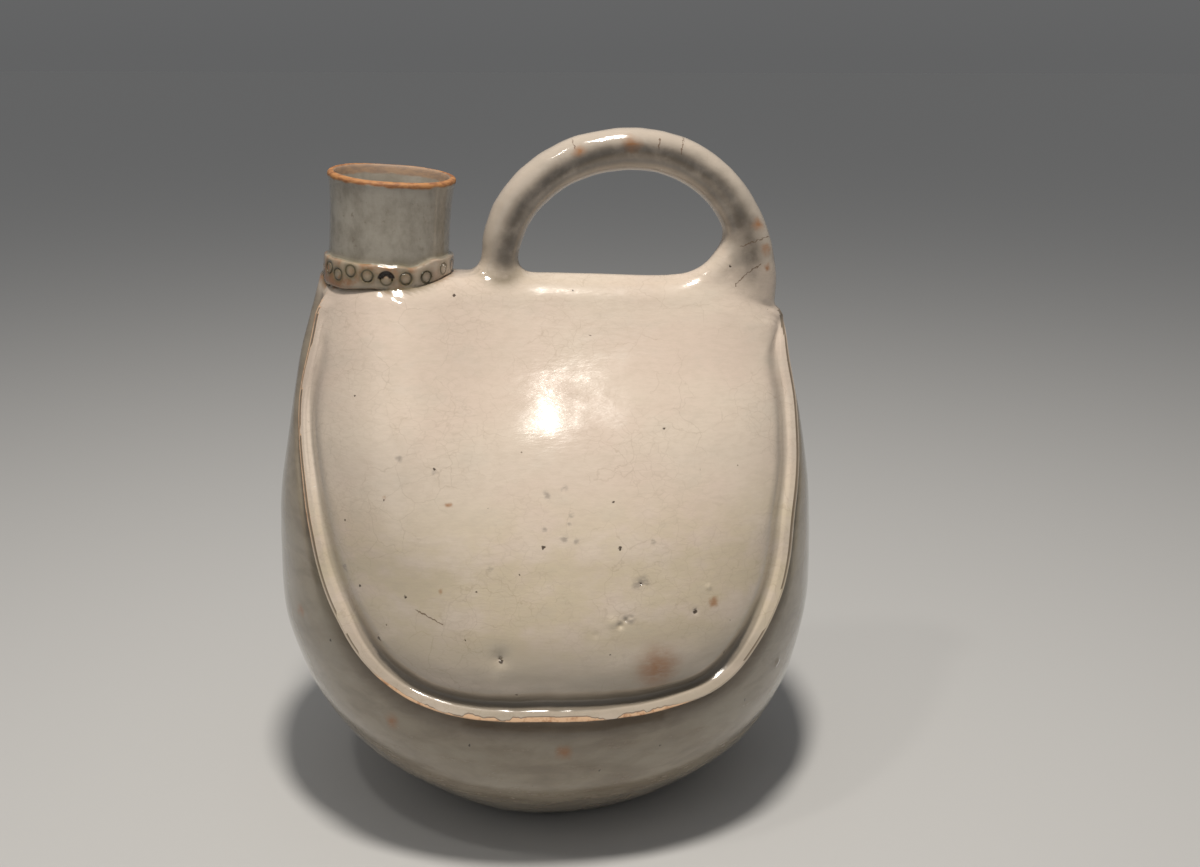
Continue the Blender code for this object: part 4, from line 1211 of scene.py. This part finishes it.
# behind the lip: dirt, and a painted shadow cast by the lip, wider round the bottom
behindReach = plus(5.5, times(low, 9.0))
dirtAndShadowBehind = times(step(lipGap, 0.5, 1.2), step(count("DIVIDE", lipGap, behindReach), 1.0, 0.25), lipRaised)
alongFoot = times(step(across, -74, -58), step(across, 54, 34), step(height, 92, 74))
upLeft = times(step(across, 0, -40), step(height, 118, 140))
chipped = times(alongFoot, step(cloud((0.8, 0.1, 0.1, 5.9), 9.0, 3.0, 0.60), 0.26, 0.60), 2.2)
edgeReach = plus(-0.05, times(upLeft, 0.45), chipped)
edgeReach = count("SUBTRACT", edgeReach, count("ABSOLUTE", count("SUBTRACT", lipGap, 0.35)))
bare = times(step(edgeReach, -0.12, 0.14), lipRaised)
chipLine = times(step(edgeReach, -0.55, -0.20), count("SUBTRACT", 1.0, bare), alongFoot, lipRaised)
clay = mixed(step(cloud((1, 1, 1, 6.1), 2.6, 3.0), 0.46, 0.72), "clayPale", "clayRed")
colour = layered(colour, (hollowPoolAndShade, plus(0.34, times(low, 0.42)), "seamPoolAndShade"), (dirtAndShadowBehind, 0.66, "behindLipDirtAndShadow"),
                 (chipLine, 0.72, "chipShade"), (bare, 0.90, clay))

# Rim: glaze worn to orange-brown clay on top, a little way down outside and further inside
uneven = times(count("SUBTRACT", cloud((1, 1, 0.4, 4.9), 6.0, 3.0), 0.5), 2.6)
worn = times(step(plus(belowRim, uneven), 2.5, 1.5), step(belowRim, -3.0, -2.0), level("rimZone"))
colour = layered(colour, (worn, 0.95, mixed(step(fine, 0.40, 0.62), "rimClay", "rimDark")), (inside, 0.55, "inside"))

# Gloss and fine relief
dry = count("MAXIMUM", count("MAXIMUM", bare, worn), times(grime, onGusset, 0.6))
roughness = plus(0.11, times(step(soft, 0.35, 0.70), 0.08), times(dry, 0.50))
grain = times(cloud((0.40, 0.40, 1.7, 1.9), 1.5, 2.0, 0.6), 0.050)
ripples = times(cloud((0.8, 0.8, 1.2, 2.9), 8.0, 1.0, 0.5), 0.085)
bump = add("ShaderNodeBump", {"Height": plus(grain, ripples), "Strength": 1.0, "Distance": 0.001}).outputs[0]
# no coat on dry clay, nor on the painted stamp shadow
coat = count("SUBTRACT", 1.0, count("MAXIMUM", dry, stampShadow), True)
shader = add("ShaderNodeBsdfPrincipled", {"Base Color": colour, "Roughness": roughness, "Normal": bump,
                                          "Coat Normal": bump, "Coat Weight": times(coat, 0.6),
                                          "Coat Roughness": 0.07, "IOR": 1.5})
add("ShaderNodeOutputMaterial", {0: shader.outputs[0]})
print("glaze made:", len(net.nodes), "nodes")

bpy.context.view_layer.update()
flask.data.shade_smooth()
flask.data.materials.clear()
flask.data.materials.append(glaze)
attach(flask, "root")
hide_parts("flask")

# Plain pale floor, as bright far off as the sky just above it
studio = {
    "floorReach": 20.0,
    "floorColour": (0.555, 0.555, 0.550, 1.0),
    "floorRoughness": 0.9,
    "floorShine": 0.1,
    "skyLow": (0.122, 0.123, 0.124, 1.0),
    "skyHigh": (0.272, 0.273, 0.276, 1.0),
    "aim": (0, 0, 0.12),
    "lamps": {   # place, size in m, power in W and colour
        "keyLight": ((0.0, -0.25, 1.08), 0.13, 9.0, (1.0, 0.94, 0.86)),
        "glintLight": ((-0.36, -0.28, 1.0), 0.07, 0.8, (1.0, 0.95, 0.88)),
        "fillLight": ((-0.75, -0.75, 0.75), 0.9, 0.5, (1.0, 0.98, 0.95)),
    },
}
reach = studio["floorReach"]
floor = meshObject("studioFloor", [(-reach, -reach, 0), (reach, -reach, 0), (reach, reach, 0), (-reach, reach, 0)],
                   [(0, 1, 2, 3)])
paint = bpy.data.materials.new("paleFloor")
paint.use_nodes = True
paintSockets = paint.node_tree.nodes["Principled BSDF"].inputs
paintSockets["Base Color"].default_value = studio["floorColour"]
paintSockets["Roughness"].default_value = studio["floorRoughness"]
paintSockets["Specular IOR Level"].default_value = studio["floorShine"]
floor.data.materials.append(paint)
for name, (spot, size, power, tone) in studio["lamps"].items():
    lamp = bpy.data.lights.new(name, "AREA")
    lamp.shape, lamp.size, lamp.energy, lamp.color = "DISK", size, power, tone
    thing = newObject(name, lamp)
    thing.location = spot
    thing.rotation_euler = (Vector(studio["aim"]) - Vector(spot)).to_track_quat("-Z", "Y").to_euler()
world = bpy.data.worlds.new("studioSky")
world.use_nodes = True
sky = world.node_tree
upward = addNode(sky, "ShaderNodeTexCoord").outputs["Generated"]
rise = addNode(sky, "ShaderNodeSeparateXYZ", {0: upward}).outputs[2]
skyColour = addNode(sky, "ShaderNodeMix", {0: rise, 6: studio["skyLow"], 7: studio["skyHigh"]}, data_type="RGBA",
                    clamp_factor=True).outputs[2]
sky.links.new(skyColour, sky.nodes["Background"].inputs["Color"])
bpy.context.scene.world = world
bpy.context.scene.view_settings.view_transform = "Standard"
print("studio lit")
